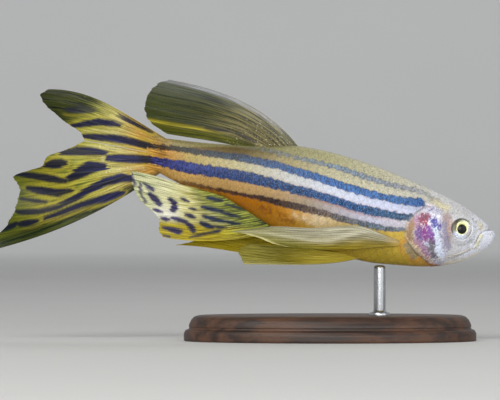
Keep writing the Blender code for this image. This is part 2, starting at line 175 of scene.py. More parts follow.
def signed_distance(px, py, outline):
    """Distance to a closed outline, positive inside it."""
    inside = np.zeros(np.broadcast(px, py).shape, bool)
    for (ax, ay), (bx, by) in zip(outline, outline[1:] + outline[:1]):
        if ay != by:
            crosses = (ay > py) != (by > py)
            inside ^= crosses & (px < (bx - ax) * (py - ay) / (by - ay) + ax)
    return distance(px, py, outline + outline[:1]) * np.where(inside, 1, -1)


def between(table, i, j, s, t):
    """A table read between its entries, at shares s and t past row i and column j. It repeats for ever."""
    rows, columns = table.shape
    near, far = (lerp(table[i % rows, k % columns], table[(i + 1) % rows, k % columns], s)
                 for k in (j, j + 1))
    return lerp(near, far, t)


def mottle(px, py, size, seed=0):
    """Smooth random values from 0 to 1, in patches of about this size."""
    table = np.random.default_rng(seed).uniform(0, 1, (64, 64))
    x, y = np.asarray(px) / size, np.asarray(py) / size
    i, j = np.floor(x).astype(int), np.floor(y).astype(int)
    return between(table, i, j, smooth(x - i, 0, 1), smooth(y - j, 0, 1))


def light(tone):
    """A screen colour, given as a tuple, as linear light. Anything else is passed on."""
    if not isinstance(tone, tuple):
        return tone
    c = np.array(tone) / 255
    return np.where(c <= 0.04045, c / 12.92, ((c + 0.055) / 1.055) ** 2.4)


def along(points, at):
    """A tone that changes along the side view, as linear light."""
    where, tones = zip(*points)
    tones = np.array([light(tone) for tone in tones])
    return np.stack([np.interp(at, where, tones[:, k]) for k in range(3)], -1)


def blend(under, over, share):
    return lerp(light(under), light(over), np.asarray(share)[..., None])


def layers(ground, *over):
    """A ground with further tones laid over it, each by its own share."""
    for tone, share in over:
        ground = blend(ground, tone, share)
    return ground


# Meshes


def grid_corners(rows, columns, wrap=False):
    i, j = np.meshgrid(np.arange(rows - 1), np.arange(columns if wrap else columns - 1), indexing="ij")
    return [np.stack([i + di, j + dj], -1).reshape(-1, 2) for di, dj in ((0, 0), (1, 0), (1, 1), (0, 1))]


def grid_faces(rows, columns, wrap=False):
    return np.stack([c[:, 0] * columns + c[:, 1] % columns for c in grid_corners(rows, columns, wrap)], 1)


def shell_faces(rows, columns):
    """Faces of a closed shell: a grid, its underside and its rim."""
    top = grid_faces(rows, columns)
    size = rows * columns
    i, j = np.arange(rows), np.arange(columns)
    loop = np.concatenate([i[:-1] * columns, (rows - 1) * columns + j[:-1],
                           i[:0:-1] * columns + columns - 1, j[:0:-1]])
    ahead = np.roll(loop, -1)
    rim = np.stack([ahead, loop, loop + size, ahead + size], 1)
    return np.concatenate([top, top[:, ::-1] + size, rim])


def ring_corners(rows, around):
    return np.stack(grid_corners(rows, around, wrap=True), 1).reshape(-1, 2)


def strip_uv(rows, around):
    """Rings of points laid out flat, inside the unwrap's margin."""
    return ring_corners(rows, around) / (rows - 1, around) * 0.96 + 0.02


def disc_uv(rows, around, inner=0.0, outer=0.48):
    """Rings of points laid out flat as a disc."""
    row, turn = ring_corners(rows, around).T
    spread = inner + row / (rows - 1) * (outer - inner)
    turn = turn / around * 2 * math.pi
    return 0.5 + np.stack([spread * np.cos(turn), spread * np.sin(turn)], 1)


def build(name, points, faces, fields=None, loop_uv=None, posed=True, crisp=False):
    """An object from millimetre points and four-sided faces, its fields as attributes."""
    p = points[faces]
    volume = np.einsum("ij,ij->i", p[:, 0], np.cross(p[:, 1], p[:, 2]) + np.cross(p[:, 2], p[:, 3])).sum()
    if volume < 0:
        faces = faces[:, ::-1]
        if loop_uv is not None:
            loop_uv = loop_uv.reshape(-1, 4, 2)[:, ::-1].reshape(-1, 2)
    mesh = bpy.data.meshes.new(name)
    mesh.vertices.add(len(points))
    mesh.vertices.foreach_set("co", (points * MM).astype(np.float32).ravel())
    mesh.loops.add(faces.size)
    mesh.loops.foreach_set("vertex_index", faces.astype(np.int32).ravel())
    mesh.polygons.add(len(faces))
    mesh.polygons.foreach_set("loop_start", np.arange(0, faces.size, 4, dtype=np.int32))
    mesh.update(calc_edges=True)
    mesh.shade_smooth()
    if crisp:
        mesh.set_sharp_from_angle(angle=math.radians(55))
    for field, values in (fields or {}).items():
        values = np.asarray(values, np.float32)
        if values.ndim == 2:
            made = mesh.attributes.new(field, "FLOAT_COLOR", "POINT")
            rgba = np.concatenate([values, np.ones((len(values), 1), np.float32)], 1)
            made.data.foreach_set("color", rgba.ravel())
        else:
            made = mesh.attributes.new(field, "FLOAT", "POINT")
            made.data.foreach_set("value", values.ravel())
    if loop_uv is not None:
        layer = mesh.uv_layers.new(name="OFBake")
        layer.data.foreach_set("uv", loop_uv.astype(np.float32).ravel())
    piece = bpy.data.objects.new(name, mesh)
    bpy.context.scene.collection.objects.link(piece)
    if posed:
        piece.matrix_world = POSE
    return piece


def build_rings(name, points, uv=strip_uv, fields=None, posed=True):
    """An object from closed rings of points."""
    rows, around = points.shape[:2]
    faces = grid_faces(rows, around, wrap=True)
    return build(name, points.reshape(-1, 3), faces, fields, uv and uv(rows, around), posed)


def turned(name, long, deep, height, around, centre=(0.0, 0.0), uv=strip_uv):
    """A form turned about an upright axis, from its rings' half-lengths, half-widths and heights."""
    a = turns(around)
    points = np.stack([centre[0] + np.outer(long, np.cos(a)), centre[1] + np.outer(deep, np.sin(a)),
                       np.outer(height, np.ones(around))], -1)
    return build_rings(name, points, uv, posed=False)


def settle(piece, material, slot, *nodes):
    """Gives a piece its finish and its place in the model."""
    piece.data.materials.append(material)
    bpy.context.view_layer.update()
    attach(piece, BODY)
    if nodes:
        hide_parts(*nodes)


# Materials


class Value:
    """A node's output, written as a number in sums."""

    def __init__(self, shade, socket):
        self.shade = shade
        self.socket = socket

    def __add__(self, other):
        return self.shade.math("ADD", self, other)

    def __sub__(self, other):
        return self.shade.math("SUBTRACT", self, other)

    def __rsub__(self, other):
        return self.shade.math("SUBTRACT", other, self)

    def __mul__(self, other):
        return self.shade.math("MULTIPLY", self, other)

    __radd__ = __add__


class Shade:
    """A material's node tree."""

    SOCKETS = {"base": "Base Color", "rough": "Roughness", "metal": "Metallic", "normal": "Normal",
               "alpha": "Alpha", "coat": "Coat Weight", "coat_rough": "Coat Roughness", "ior": "IOR",
               "specular": "Specular IOR Level", "glow": "Emission Strength"}

    def __init__(self, name):
        self.material = bpy.data.materials.new(name)
        self.material.use_nodes = True
        self.tree = self.material.node_tree
        self.surface = self.tree.nodes["Principled BSDF"]

    def add(self, kind, inputs=(), out=0, **settings):
        made = self.tree.nodes.new(kind)
        for key, value in settings.items():
            setattr(made, key, value)
        for key, value in inputs.items() if isinstance(inputs, dict) else enumerate(inputs):
            self.put(made.inputs[key], value)
        return Value(self, made.outputs[out])

    def put(self, socket, value):
        if isinstance(value, Value):
            self.tree.links.new(value.socket, socket)
        elif value is not None:
            socket.default_value = (*light(value), 1) if socket.type == "RGBA" else value

    def math(self, operation, a, b=None):
        return self.add("ShaderNodeMath", (a, b), operation=operation)

    def vector(self, operation, a, b=None, out=0):
        return self.add("ShaderNodeVectorMath", (a, b), out, operation=operation)

    def mix(self, factor, a, b, blend="MIX"):
        return self.add("ShaderNodeMix", {0: factor, 6: a, 7: b}, 2, data_type="RGBA", blend_type=blend)

    def even(self, value):
        """The same value in all three channels."""
        return self.add("ShaderNodeCombineXYZ", [value] * 3)

    def scaled(self, tone, factor):
        """A tone made lighter or darker by a number."""
        return self.mix(1.0, tone, self.even(factor), "MULTIPLY")

    def step(self, value, low, high, start=0.0, end=1.0):
        return self.add("ShaderNodeMapRange", (value, low, high, start, end), interpolation_type="SMOOTHSTEP")

    def field(self, name, out=2):
        return self.add("ShaderNodeAttribute", out=out, attribute_name=name)

    def tone(self, name):
        return self.field(name, 0)

    def place(self, *factors):
        """Where a point is, in millimetres, in the piece's own frame, stretched by these factors."""
        spot = self.vector("MULTIPLY", self.add("ShaderNodeTexCoord", out=3), [1 / MM] * 3)
        return self.vector("MULTIPLY", spot, factors) if factors else spot

    def noise(self, vector, size, detail=2.0, rough=0.55):
        return self.add("ShaderNodeTexNoise", {"Vector": vector, "Scale": 1 / size, "Detail": detail,
                                               "Roughness": rough})

    def cells(self, vector, size):
        return self.add("ShaderNodeTexVoronoi", {"Vector": vector, "Scale": 1 / size})

    def bump(self, height, strength, depth):
        return self.add("ShaderNodeBump", {"Height": height, "Strength": strength, "Distance": depth * MM})

    def finish(self, **inputs):
        for key, value in inputs.items():
            self.put(self.surface.inputs[self.SOCKETS[key]], value)
        return self.material


# Markings on the flanks, in points of the side view: (at, top edge, bottom edge)
STRIPES = {
    "first": [(235, 146, 148), (260, 147.5, 151.5), (280, 150.5, 156), (300, 156, 161.5), (320, 160.5, 166),
              (340, 165.5, 171.5), (360, 172, 178.5), (380, 178.5, 185), (400, 184, 190), (415, 187, 193),
              (431, 194, 199)],
    "second": [(140, 143.2, 147.6), (160, 144.5, 149.5), (180, 146, 152), (200, 149, 156),
               (220, 151.5, 158.5), (240, 154, 162), (260, 158, 165.8), (280, 162, 170.3), (300, 168, 176.5),
               (320, 174, 182.5), (340, 181, 189.3), (360, 187, 195.8), (380, 192.5, 200.3),
               (400, 196.5, 204.5), (424, 198.3, 208)],
    "third": [(140, 154.5, 161), (165, 158, 167.5), (180, 160.5, 171.8), (200, 164, 175.8),
              (220, 166.5, 178.5), (240, 170, 182), (260, 174.6, 186.3), (280, 180, 190.8),
              (300, 186, 195.5), (320, 191.5, 200.3), (340, 198, 206.5), (360, 204, 213), (380, 208.5, 217),
              (400, 212.5, 220.7), (414, 214.5, 221.2)],
    "fourth": [(170, 178.5, 181.5), (215, 187, 191), (245, 193, 197.3), (265, 196.5, 202),
               (285, 200.3, 207.5), (305, 205, 212.3), (325, 210.5, 217.3), (345, 216.5, 222.7),
               (365, 221.5, 227.4), (385, 226, 231.2), (407, 228.3, 231.8)],
}
STRIPE_TINTS = {
    "first": [(235, (112, 110, 88)), (300, (120, 132, 142)), (345, (114, 134, 158)), (400, (132, 138, 156)),
              (431, (150, 150, 150))],
    "second": [(140, (26, 20, 16)), (160, (32, 26, 22)), (176, (30, 35, 31)), (200, (37, 45, 48)),
               (240, (39, 52, 68)), (290, (50, 76, 120)), (340, (48, 90, 150)), (400, (66, 104, 156)),
               (424, (58, 86, 140))],
    "third": [(140, (26, 20, 26)), (148, (30, 26, 40)), (157, (48, 50, 110)), (190, (52, 62, 118)),
              (240, (29, 47, 92)), (290, (22, 48, 88)), (345, (24, 63, 112)), (390, (44, 75, 108)),
              (414, (62, 74, 88))],
    "fourth": [(170, (80, 48, 8)), (235, (66, 34, 8)), (275, (48, 28, 12)), (325, (108, 90, 74)),
               (375, (100, 114, 124)), (407, (106, 108, 110))],
}
SCALE_POINTS = 9.2
BEADED = {"first": 1.4, "second": 0.6, "third": 0.6, "fourth": 0.4}
STRIPE_STRENGTH = {
    "first": [(232, 0.0), (262, 0.6), (345, 0.85), (410, 0.7), (433, 0.55)],
    "second": [(140, 0.9), (200, 0.92), (424, 1.0)],
    "third": [(140, 1.0), (414, 1.0)],
    "fourth": [(165, 0.0), (185, 0.7), (220, 0.95), (280, 1.0), (407, 0.95)],
}
LANES = {
    "back": [(150, (130, 118, 72)), (220, (134, 128, 84)), (270, (140, 136, 94)), (330, (172, 168, 128)),
             (390, (194, 190, 164)), (430, (196, 194, 184))],
    "first": [(150, (104, 88, 48)), (240, (100, 86, 50)), (290, (154, 143, 103)), (330, (181, 176, 146)),
              (385, (198, 194, 172)), (425, (204, 202, 190))],
    "second": [(140, (178, 134, 54)), (165, (168, 122, 58)), (190, (148, 132, 80)), (240, (153, 147, 114)),
               (290, (163, 164, 162)), (330, (171, 176, 188)), (380, (174, 180, 202)),
               (425, (180, 184, 206))],
    "third": [(140, (180, 140, 66)), (190, (192, 154, 88)), (240, (182, 146, 90)), (280, (166, 138, 98)),
              (310, (152, 140, 122)), (340, (168, 162, 170)), (370, (184, 186, 206)),
              (410, (184, 178, 184))],
    "fourth": [(160, (178, 132, 54)), (190, (186, 136, 46)), (215, (184, 120, 16)), (240, (176, 108, 0)),
               (268, (170, 108, 0)), (285, (192, 132, 34)), (300, (204, 160, 90)), (318, (220, 198, 160)),
               (335, (208, 184, 132)), (365, (204, 178, 92)), (405, (210, 178, 76))],
    "breast": [(160, (168, 128, 50)), (240, (170, 104, 0)), (285, (182, 128, 30)), (330, (190, 162, 56)),
               (375, (208, 180, 66)), (405, (218, 186, 76)), (425, (214, 166, 80)), (435, (206, 150, 84))],
}
SHINE = {"back": 0.12, "first": 0.25, "second": 0.5, "third": 0.42, "fourth": 0.25, "breast": 0.18,
         "head": 0.16}
BREAST_STARTS, BREAST_FULL = 5, 16
OUTSIDE = -30.0


class Flank:
    """Marks on the lanes between the stripes, in points of the side view."""

    # Blotches: a line, its half-width, the size of its grain, where the grain starts, its tone
    blotches = [([(262, 207), (273, 213), (292, 222)], 5, 2.2, 0.45, (112, 60, 8)),
                ([(294, 214), (306, 220), (318, 224)], 3.5, 2.0, 0.4, (232, 214, 176))]
    girdle, girdle_tone, girdle_rim = [(407, 246), (413, 254)], (156, 144, 122), (206, 134, 62)
    breast, breast_tone = [(378, 256), (404, 259)], (150, 134, 28)
    # The third of these spans is where the stripes' painted highlights come in
    speckled_rear, root_span, glow_span, brown_span = (190, 300), (150, 178), (170, 290), (290, 360)
    rust_starts, rust_ends, upper_rust_starts = (285, 310), (372, 400), (250, 300)


class Head:
    """Tones of the head, in points of the side view."""

    silver = [(400, (198, 191, 179)), (440, (203, 202, 204)), (465, (206, 208, 216)), (495, (214, 217, 228))]
    low, low_span, bare_span = (222, 220, 222), (240, 266), (236, 262)
    # The gill cover's coloured window, where the grain is coarse
    window, window_span = [(426, 214), (430, 232), (434, 252)], (9, 15)
    coarse, fine = 2.6, 1.1
    glint, pit = (236, 236, 255), (70, 52, 104)
    # Painted in this order: a line of points, its half-width, softness, tone, strength
    patches = [
        ([(436, 198), (470, 212)], 10, 9, (202, 202, 200), 0.8),
        ([(428, 198), (436, 203)], 3, 4, (150, 148, 142), 0.8),
        ([(432, 203), (446, 208)], 3.2, 4, (216, 206, 168), 0.8),
        ([(450, 203), (474, 214)], 2.5, 4, (196, 196, 200), 0.6),
        ([(474, 217), (487, 228)], 4, 5, (217, 218, 227), 0.8),
        ([(479, 224), (483, 233)], 2.2, 3, (214, 206, 158), 0.6),
        ([(486, 236), (482, 246), (466, 256)], 7, 4, (228, 231, 243), 0.95),
        ([(480, 254), (468, 260), (452, 264), (438, 266)], 2.8, 3, (244, 236, 214), 0.9),
        ([(480, 236), (476.5, 243), (475, 248)], 1.7, 2.2, (206, 202, 156), 0.75),
        ([(474, 248.5), (463, 253.5), (447, 259)], 0.5, 1.2, (150, 142, 142), 0.6),
        ([(445.5, 217), (446.5, 240)], 4.6, 8, (146, 116, 114), 0.75),
        ([(449.5, 220), (449, 231)], 1.0, 3, (188, 146, 124), 0.6),
        ([(413, 219), (408, 230), (409, 240), (418, 248), (427, 258), (433, 263)], 3.6, 3,
         (158, 128, 98), 0.95),
        ([(409, 246), (416, 254)], 4.5, 4, (176, 160, 138), 0.85),
        ([(430, 212), (440, 246), (436, 262)], 8, 5, (206, 204, 224), 0.8),
        ([(443, 224), (444, 236), (446.5, 247)], 3.2, 4, (134, 130, 154), 0.7),
        ([(419, 219), (420, 240), (428, 252)], 6, 4, (176, 134, 168), 0.9),
        ([(424, 218), (421, 226)], 5.2, 4, (142, 78, 96), 0.95),
        ([(424, 221), (425, 226)], 2.4, 3, (178, 80, 98), 0.7),
        ([(417.5, 229), (418.5, 238)], 2.6, 3, (112, 88, 150), 0.9),
        ([(424, 232), (430, 240)], 4.2, 4, (138, 66, 140), 0.95),
        ([(428, 228), (431, 235)], 3.0, 3, (140, 84, 170), 0.9),
        ([(432, 219), (436, 226)], 4.0, 3, (88, 88, 170), 0.95),
        ([(429, 244), (433, 255)], 4.4, 3, (118, 118, 124), 0.9),
        ([(424, 242), (427, 244)], 1.5, 2, (212, 214, 240), 0.85),
        # Painted highlights: thin white and pale blue streaks on the gill cover
        ([(429.5, 219.5), (428, 223), (429, 226.5)], 0.9, 1.2, (240, 240, 252), 0.95),
        ([(434.5, 228), (435, 233), (436.4, 242), (439.4, 250), (441.5, 258)], 2.2, 1.8,
         (222, 236, 255), 1.0),
        ([(436.8, 243), (439.8, 255)], 3.4, 2.4, (224, 234, 255), 0.95),
        ([(431, 215.4), (439, 217.2)], 1.7, 2.2, (242, 240, 252), 0.95),
        # Painted shadow along the edge above the gill cover
        ([(427, 209.5), (434, 208.5), (441, 211.5)], 1.1, 1.4, (150, 146, 176), 0.75),
        ([(419, 225.5), (421, 227.5)], 0.7, 0.9, (244, 222, 232), 0.85),
        ([(424.5, 229), (425, 231)], 0.7, 0.9, (230, 170, 130), 0.7),
        ([(434, 257), (430, 259)], 0.8, 1.2, (214, 216, 226), 0.7),
        ([(414, 258), (426, 264.5), (440, 266.5)], 1.8, 2.5, (204, 130, 46), 0.95),
        ([(404.5, 231), (406, 239), (415, 246), (424, 256), (432, 263)], 0.6, 1.0, (238, 214, 184), 0.85),
    ]
    # Painted shade in the skin's hollows: round the eye's socket, in the mouth's cleft, in the nostrils and
    # in the gill's gap
    socket, cleft, nostril, gap = (88, 82, 72), (110, 98, 96), (112, 104, 104), (140, 102, 58)


class Tail:
    """Tones of the tail fin, and the spans of the side view where they come in."""

    ground = [(-30, (42, 56, 2)), (10, (54, 68, 6)), (50, (78, 88, 18)), (85, (112, 120, 40)),
              (118, (152, 142, 70)), (140, (170, 130, 48)), (152, (176, 130, 46)), (166, (166, 122, 54))]
    lights = [(-20, (96, 104, 24)), (40, (146, 140, 36)), (90, (178, 174, 78)), (118, (200, 192, 128)),
              (136, (200, 164, 92)), (144, (192, 148, 70)), (165, (188, 146, 70))]
    ink = [(0, (16, 22, 26)), (60, (14, 18, 46)), (100, (28, 32, 82)), (136, (46, 46, 98)),
           (144, (24, 20, 30)), (168, (40, 40, 76))]
    saddle, saddle_row, saddle_span = (120, 108, 58), 136, (140, 158)
    upper_tip, upper_span = (10, 22, 0), (235, 275)
    lower_edge, lower_row, lower_slope = (18, 33, 0), 239, 0.42
    dull, root_ink, root_ink_span, root_ink_rows = (52, 64, 20), (34, 26, 28), (118, 146), (148, 154)
    halo, halo_span, halo_rows = (190, 172, 48), (10, 60), (110, 117)
    pale, quiet_span = (222, 210, 150), (138, 158)
    glint_span, rays_span, sparkle_span, inked_rows = (20, 100), (30, 110), (60, 120), (106, 118)
    sparkle = [(104, 150), (112, 172), (134, 172)]
    # Pale streaks: a line and its half-width
    streaks = [([(82, 131.5), (94, 129.5), (108, 131.5), (118, 133.5)], 1.6),
               ([(86, 145), (106, 148), (124, 151.5), (136, 152.5)], 1.4),
               ([(104, 158), (101, 164), (112, 172), (128, 169), (142, 167)], 2.0)]


opening_x = curve([(z, x) for x, z in reversed(GILL_OPENING)])
plate_outline = round_line(GILL_FRONT, 4) + [(float(opening_x(z)), z) for z in np.linspace(-4.95, 1.5, 30)]
edges = {name: [curve([(row[0], row[edge]) for row in rows]) for edge in (1, 2)]
         for name, rows in STRIPES.items()}


def tail_ground(px, py):
    share = bell(py - Tail.saddle_row, 6) * smooth(px, *Tail.saddle_span)
    return blend(along(Tail.ground, px), Tail.saddle, share)


def stripe_fields(px, py):
    """How deep each point lies in the nearest stripe, with that stripe's tint and strength."""
    depth, tint, strength = np.full(px.shape, 2 * OUTSIDE), np.zeros(px.shape + (3,)), np.zeros(px.shape)
    for name, (top, bottom) in edges.items():
        middle, half = (top(px) + bottom(px)) / 2, (bottom(px) - top(px)) / 2
        past = np.maximum(px - (STRIPES[name][-1][0] - half), 0)
        beads = 0.5 - 0.5 * np.cos(2 * math.pi * (px + 0.4 * py) / SCALE_POINTS)
        inside = half - np.hypot(past, py - middle) - beads * BEADED[name]
        better = inside > depth
        depth = np.where(better, inside, depth)
        tint[better] = along(STRIPE_TINTS[name], px[better])
        strength = np.where(better, np.interp(px, *zip(*STRIPE_STRENGTH[name])), strength)
    return depth, tint, strength


def head_tones(px, py, warped, window):
    """The head's silver and the patches painted on it."""
    silver = blend(along(Head.silver, px), Head.low, smooth(py, *Head.low_span) * 0.5)
    for line, half, soft, tone, amount in Head.patches:
        silver = blend(silver, tone, amount * fade(distance(*warped, line), half - soft / 2, half + soft / 2))
    glitter = mottle(px, py, Head.fine, 5)
    return layers(silver, (Head.glint, window * 0.55 * smooth(glitter, 0.68, 0.9)),
                  (Head.pit, window * 0.45 * smooth(-glitter, -0.34, -0.14)))


def markings(x, z):
    """The fields that colour skin and scales alike, at places on either flank."""
    px, py = to_view(x, z)
    spans = {name: (top(px), bottom(px)) for name, (top, bottom) in edges.items()}
    _, (top2, low2), (top3, low3), (top4, low4) = spans.values()
    depth, tint, strength = stripe_fields(px, py)
    ground, shine = along(LANES["back"], px), SHINE["back"]
    spans["breast"] = (low4 + BREAST_STARTS, low4 + BREAST_FULL)
    for lane, span in spans.items():
        share = smooth(py, *span)
        ground = blend(ground, along(LANES[lane], px), share)
        shine = lerp(shine, SHINE[lane], share)
    for seed, (line, half, size, starts, tone) in enumerate(Flank.blotches, 6):
        share = bell(distance(px, py, line), half) * smooth(mottle(px, py, size, seed), starts, 0.7)
        ground = blend(ground, tone, 0.6 * share)

    on_head = smooth(x - opening_x(z), -0.25, 0.35)
    window = fade(distance(px, py, Head.window), *Head.window_span)
    warped = [at + (1.6 + 2.2 * window) * (mottle(px, py, Head.coarse, seed) - 0.5)
              + 3.4 * (mottle(px, py, Head.fine, seed + 1) - 0.5) for at, seed in ((px, 1), (py, 3))]
    girdle = distance(*warped, Flank.girdle)
    ground = layers(ground, (Flank.girdle_tone, 0.85 * fade(girdle, 3.0, 6.5)),
                    (Flank.girdle_rim, 0.6 * bell(girdle - 7, 1.6)),
                    (Flank.breast_tone, 0.25 * bell(distance(px, py, Flank.breast), 7)),
                    (head_tones(px, py, warped, window), on_head))
    speckle = 0.35 + 0.5 * fade(py, top2 - 5, top2)
    speckle = speckle + 0.4 * fade(px, *Flank.speckled_rear) * smooth(py, top2, low2)
    speckle = lerp(speckle, 0.75 - 0.3 * smooth(py, *Head.bare_span), on_head * (1 - 0.6 * window))
    rust = 0.75 * smooth(px, *Flank.rust_starts) * fade(px, *Flank.rust_ends) * bell(py - low3 - 0.6, 1.6)
    rust = rust + 0.25 * bell(py - top3 + 0.5, 1.2) * smooth(px, *Flank.upper_rust_starts)
    tail = blend(tail_ground(px, py), along(Tail.lights, px), 0.35)
    ground = blend(ground, tail, fade(px, *Flank.root_span) * 0.95)
    brown = smooth(py, top4 - 3, top4) * fade(px, *Flank.brown_span)
    # glow is where the stripes get their painted highlights, less over the fourth stripe's brown
    return dict(stripe=depth, tint=tint, strength=strength * (1 - on_head), ground=ground,
                shine=lerp(shine, SHINE["head"], on_head), speckle=speckle, head=on_head,
                glow=smooth(px, *Flank.glow_span) * (1 - 0.85 * brown), rust=rust * (1 - on_head))


# The skin

# Grooves and swellings of the head: a line of places, how far it stands out, its half-width
HEAD_FORMS = [([(31.2, -2.6), (32.4, -2.9), (34.0, -2.5)], -0.03, 0.07),
              ([(33.2, 1.3), (34.1, 0.6), (34.3, -0.6), (34.7, -1.9)], -0.03, 0.09),
              ([(34.9, 2.0), (35.9, 1.9), (36.8, 1.6)], -0.03, 0.08),
              ([(39.5, 0.48), (39.9, 0.1)], 0.2, 0.3),
              ([(39.2, 0.85), (39.3, 0.76)], -0.2, 0.15),
              (round_line(JAW_LINE), -0.05, 0.08),
              ([(38.0, 1.3), (37.5, 0.2), (37.3, -1.2)], -0.04, 0.1)]
# How far the gill plate and the lips stand out, and how deep the grooves beside them are
PLATE_RISE, PLATE_CROWN, PLATE_GAP = 0.1, 0.05, 0.09
LIP_RISE, LIP_GAP, LIP_GAP_FRONT = 0.06, 0.09, 0.15
NOSTRIL_RIM, NOSTRIL_PIT = 0.03, 0.12
POUCH_RADIUS, POUCH_DEPTH = 1.95, 0.03
LIPS = (38.2, 39.6)
SKIN_RINGS, SKIN_REAR_RINGS, SKIN_AROUND = 400, 150, 244
SKIN_START, SKIN_FINE_FROM = -1.7, 30
# How deep the skin lies under the scales, and the rim and the pit it makes for an eye
UNDER_SCALES = 0.05
EYE_RIM, EYE_PIT = 0.05, 0.55
EYE_AREA, EYE_DEPTH = 2.4, 1.3


def body_point(x, angle, side=1.0):
    """The body's surface at a station, at an angle from the back down the flank."""
    up = np.where(np.cos(angle) > 0, back(x) - widest(x), widest(x) - belly(x))
    return np.stack(np.broadcast_arrays(
        x, sway(x) + side * flank(x) * np.sin(angle), widest(x) + np.cos(angle) * up), -1)


def body_normal(x, angle, side=1.0):
    """The way out of the body there."""
    step = 1e-3
    x = np.minimum(x, LENGTH - 0.05)
    dx = body_point(x + step, angle, side) - body_point(x - step, angle, side)
    da = body_point(x, angle + step, side) - body_point(x, angle - step, side)
    out = np.cross(dx, da) * side
    return out / np.maximum(np.linalg.norm(out, axis=-1, keepdims=True), 1e-12)


def eye_frame(side):
    """The middle of an eye's opening on the skin, and the way it faces."""
    x, z = EYE
    facing = Vector(EYE_FACING)
    facing.y *= side
    facing.normalize()
    across = Vector((facing.y, -facing.x, 0)).normalized() * side
    middle = np.array([x, side * float(half_width(x, z)), z])
    return middle, np.array(facing), np.array(across), np.array(across.cross(facing) * side)


def eye_places(points, side):
    """Points seen from an eye: forwards, upwards, out of the skin, and their radius."""
    middle, facing, across, upward = eye_frame(side)
    local = points - middle
    fore, up = local @ across, local @ upward
    return fore, up, local @ facing, np.hypot(fore, up)


def relief(x, z):
    """How far the head's own forms stand out of the plain body, in millimetres."""
    plate = signed_distance(x, z, plate_outline)
    rear = fade(x - opening_x(z), 0.6, 1.6)
    rise = PLATE_RISE * smooth(plate, -0.02, 0.13) + PLATE_CROWN * smooth(plate, 0.3, 1.6)
    rise -= PLATE_GAP * bell(plate + 0.14, 0.11) * rear + 0.05 * bell(plate, 0.09) * (1 - rear)
    turn = np.degrees(np.arctan2(EYE[1] - z, x - EYE[0]))
    pouch = bell(np.hypot(x - EYE[0], z - EYE[1]) - POUCH_RADIUS, 0.09)
    rise -= POUCH_DEPTH * pouch * smooth(turn, -20, 20) * fade(turn, 140, 175)
    mouth = distance(x, z, round_line(MOUTH))
    rise -= (LIP_GAP + LIP_GAP_FRONT * smooth(x, *LIPS)) * bell(mouth, 0.075)
    rise += LIP_RISE * bell(mouth - 0.24, 0.14)
    for line, height, half in HEAD_FORMS:
        rise += height * bell(distance(x, z, line), half)
    for cx, cz in NOSTRILS:
        reach = np.hypot(x - cx, z - cz)
        rise += NOSTRIL_RIM * bell(reach - 0.24, 0.07) - NOSTRIL_PIT * bell(reach, 0.12)
    return rise


def root_taper(x, z):
    """How the body thins out into the tail fin's root, furthest back at mid height."""
    reach = -x - 0.35 * (z / 2) ** 2 + 0.2 * np.sin(21 * z) + 0.16 * np.sin(9 * z + 1)
    return 1 - 0.97 * smooth(reach, -0.9, 1.3)


def tapered(points, x):
    """Points drawn in towards the middle of the body where it thins out."""
    points[..., 1] = sway(x) + (points[..., 1] - sway(x)) * root_taper(x, points[..., 2])
    return points


def skin_points():
    behind = np.linspace(SKIN_START, SKIN_FINE_FROM, SKIN_REAR_RINGS, endpoint=False)
    share = 1 - (1 - np.linspace(0, 1, SKIN_RINGS - SKIN_REAR_RINGS)) ** 1.25
    stations = np.concatenate([behind, lerp(SKIN_FINE_FROM, LENGTH - 0.012, share)])
    x, angle = np.meshgrid(stations, turns(SKIN_AROUND), indexing="ij")
    points, out = tapered(body_point(x, angle), x), body_normal(x, angle)
    z = points[..., 2]
    scaled = fade(x - opening_x(z), -0.35, -0.05)
    rise = relief(x, z) * (1 - scaled * 0.999 * (x < 29)) - UNDER_SCALES * scaled
    points = points + out * (rise * root_taper(x, z))[..., None]
    for side in (1, -1):
        height, radius = eye_places(points, side)[2:]
        near = (radius < EYE_AREA) & (np.abs(height) < EYE_DEPTH)
        near = near & (np.where(np.sin(angle) >= 0, 1, -1) == side)
        flat = fade(radius, EYE_RADIUS + 0.12, EYE_RADIUS + 0.85)
        rim = EYE_RIM * bell(radius - EYE_RADIUS - 0.13, 0.09)
        pit = EYE_PIT * fade(radius, EYE_RADIUS - 0.2, EYE_RADIUS - 0.03)
        points = points + eye_frame(side)[1] * ((rim - pit - height * flat * 0.9) * near)[..., None]
    tip = points[-1].mean(axis=0)
    points[-1] = lerp(tip, points[-1], 0.01)
    return points


def build_skin():
    points = skin_points()
    spot = points.reshape(-1, 3)
    x, y, z = spot.T
    fields = markings(x, z)
    ground = fields["ground"]
    for side in (1, -1):
        fore, up, _, radius = eye_places(spot, side)
        # Painted shade round the rim of each eye's socket, stronger above and behind the eye
        dark = fade(radius, EYE_RADIUS + 0.02, EYE_RADIUS + 0.16) * (np.sign(y) == side)
        high_rear = smooth((up - 0.9 * fore) / np.maximum(radius, 0.1), -0.2, 0.9)
        ground = blend(ground, Head.socket, (0.12 + 0.6 * high_rear) * dark)
    # Painted shade in the mouth's cleft, stronger towards the snout
    cleft = bell(distance(x, z, round_line(MOUTH)), 0.07)
    ground = blend(ground, Head.cleft, cleft * (0.25 + 0.5 * smooth(x, 38.4, LIPS[1])))
    # Painted shade in the nostrils
    for cx, cz in NOSTRILS:
        ground = blend(ground, Head.nostril, 0.6 * bell(np.hypot(x - cx, z - cz), 0.12))
    # Painted shade in the groove just outside the gill plate's edge
    gap = bell(signed_distance(x, z, plate_outline) + 0.12, 0.09)
    fields["ground"] = blend(ground, Head.gap, 0.4 * gap * fade(x - opening_x(z), 0.5, 1.2))
    fields.update({name: np.zeros(len(spot)) for name in ("free", "across", "jitter")})
    settle(build_rings("skin", points, fields=fields), coat_material("skin", 0.0), "skin",
           "head", "lower_jaw", "gill_cover_left", "gill_cover_right", "trunk", "tail_stalk")


# Scales

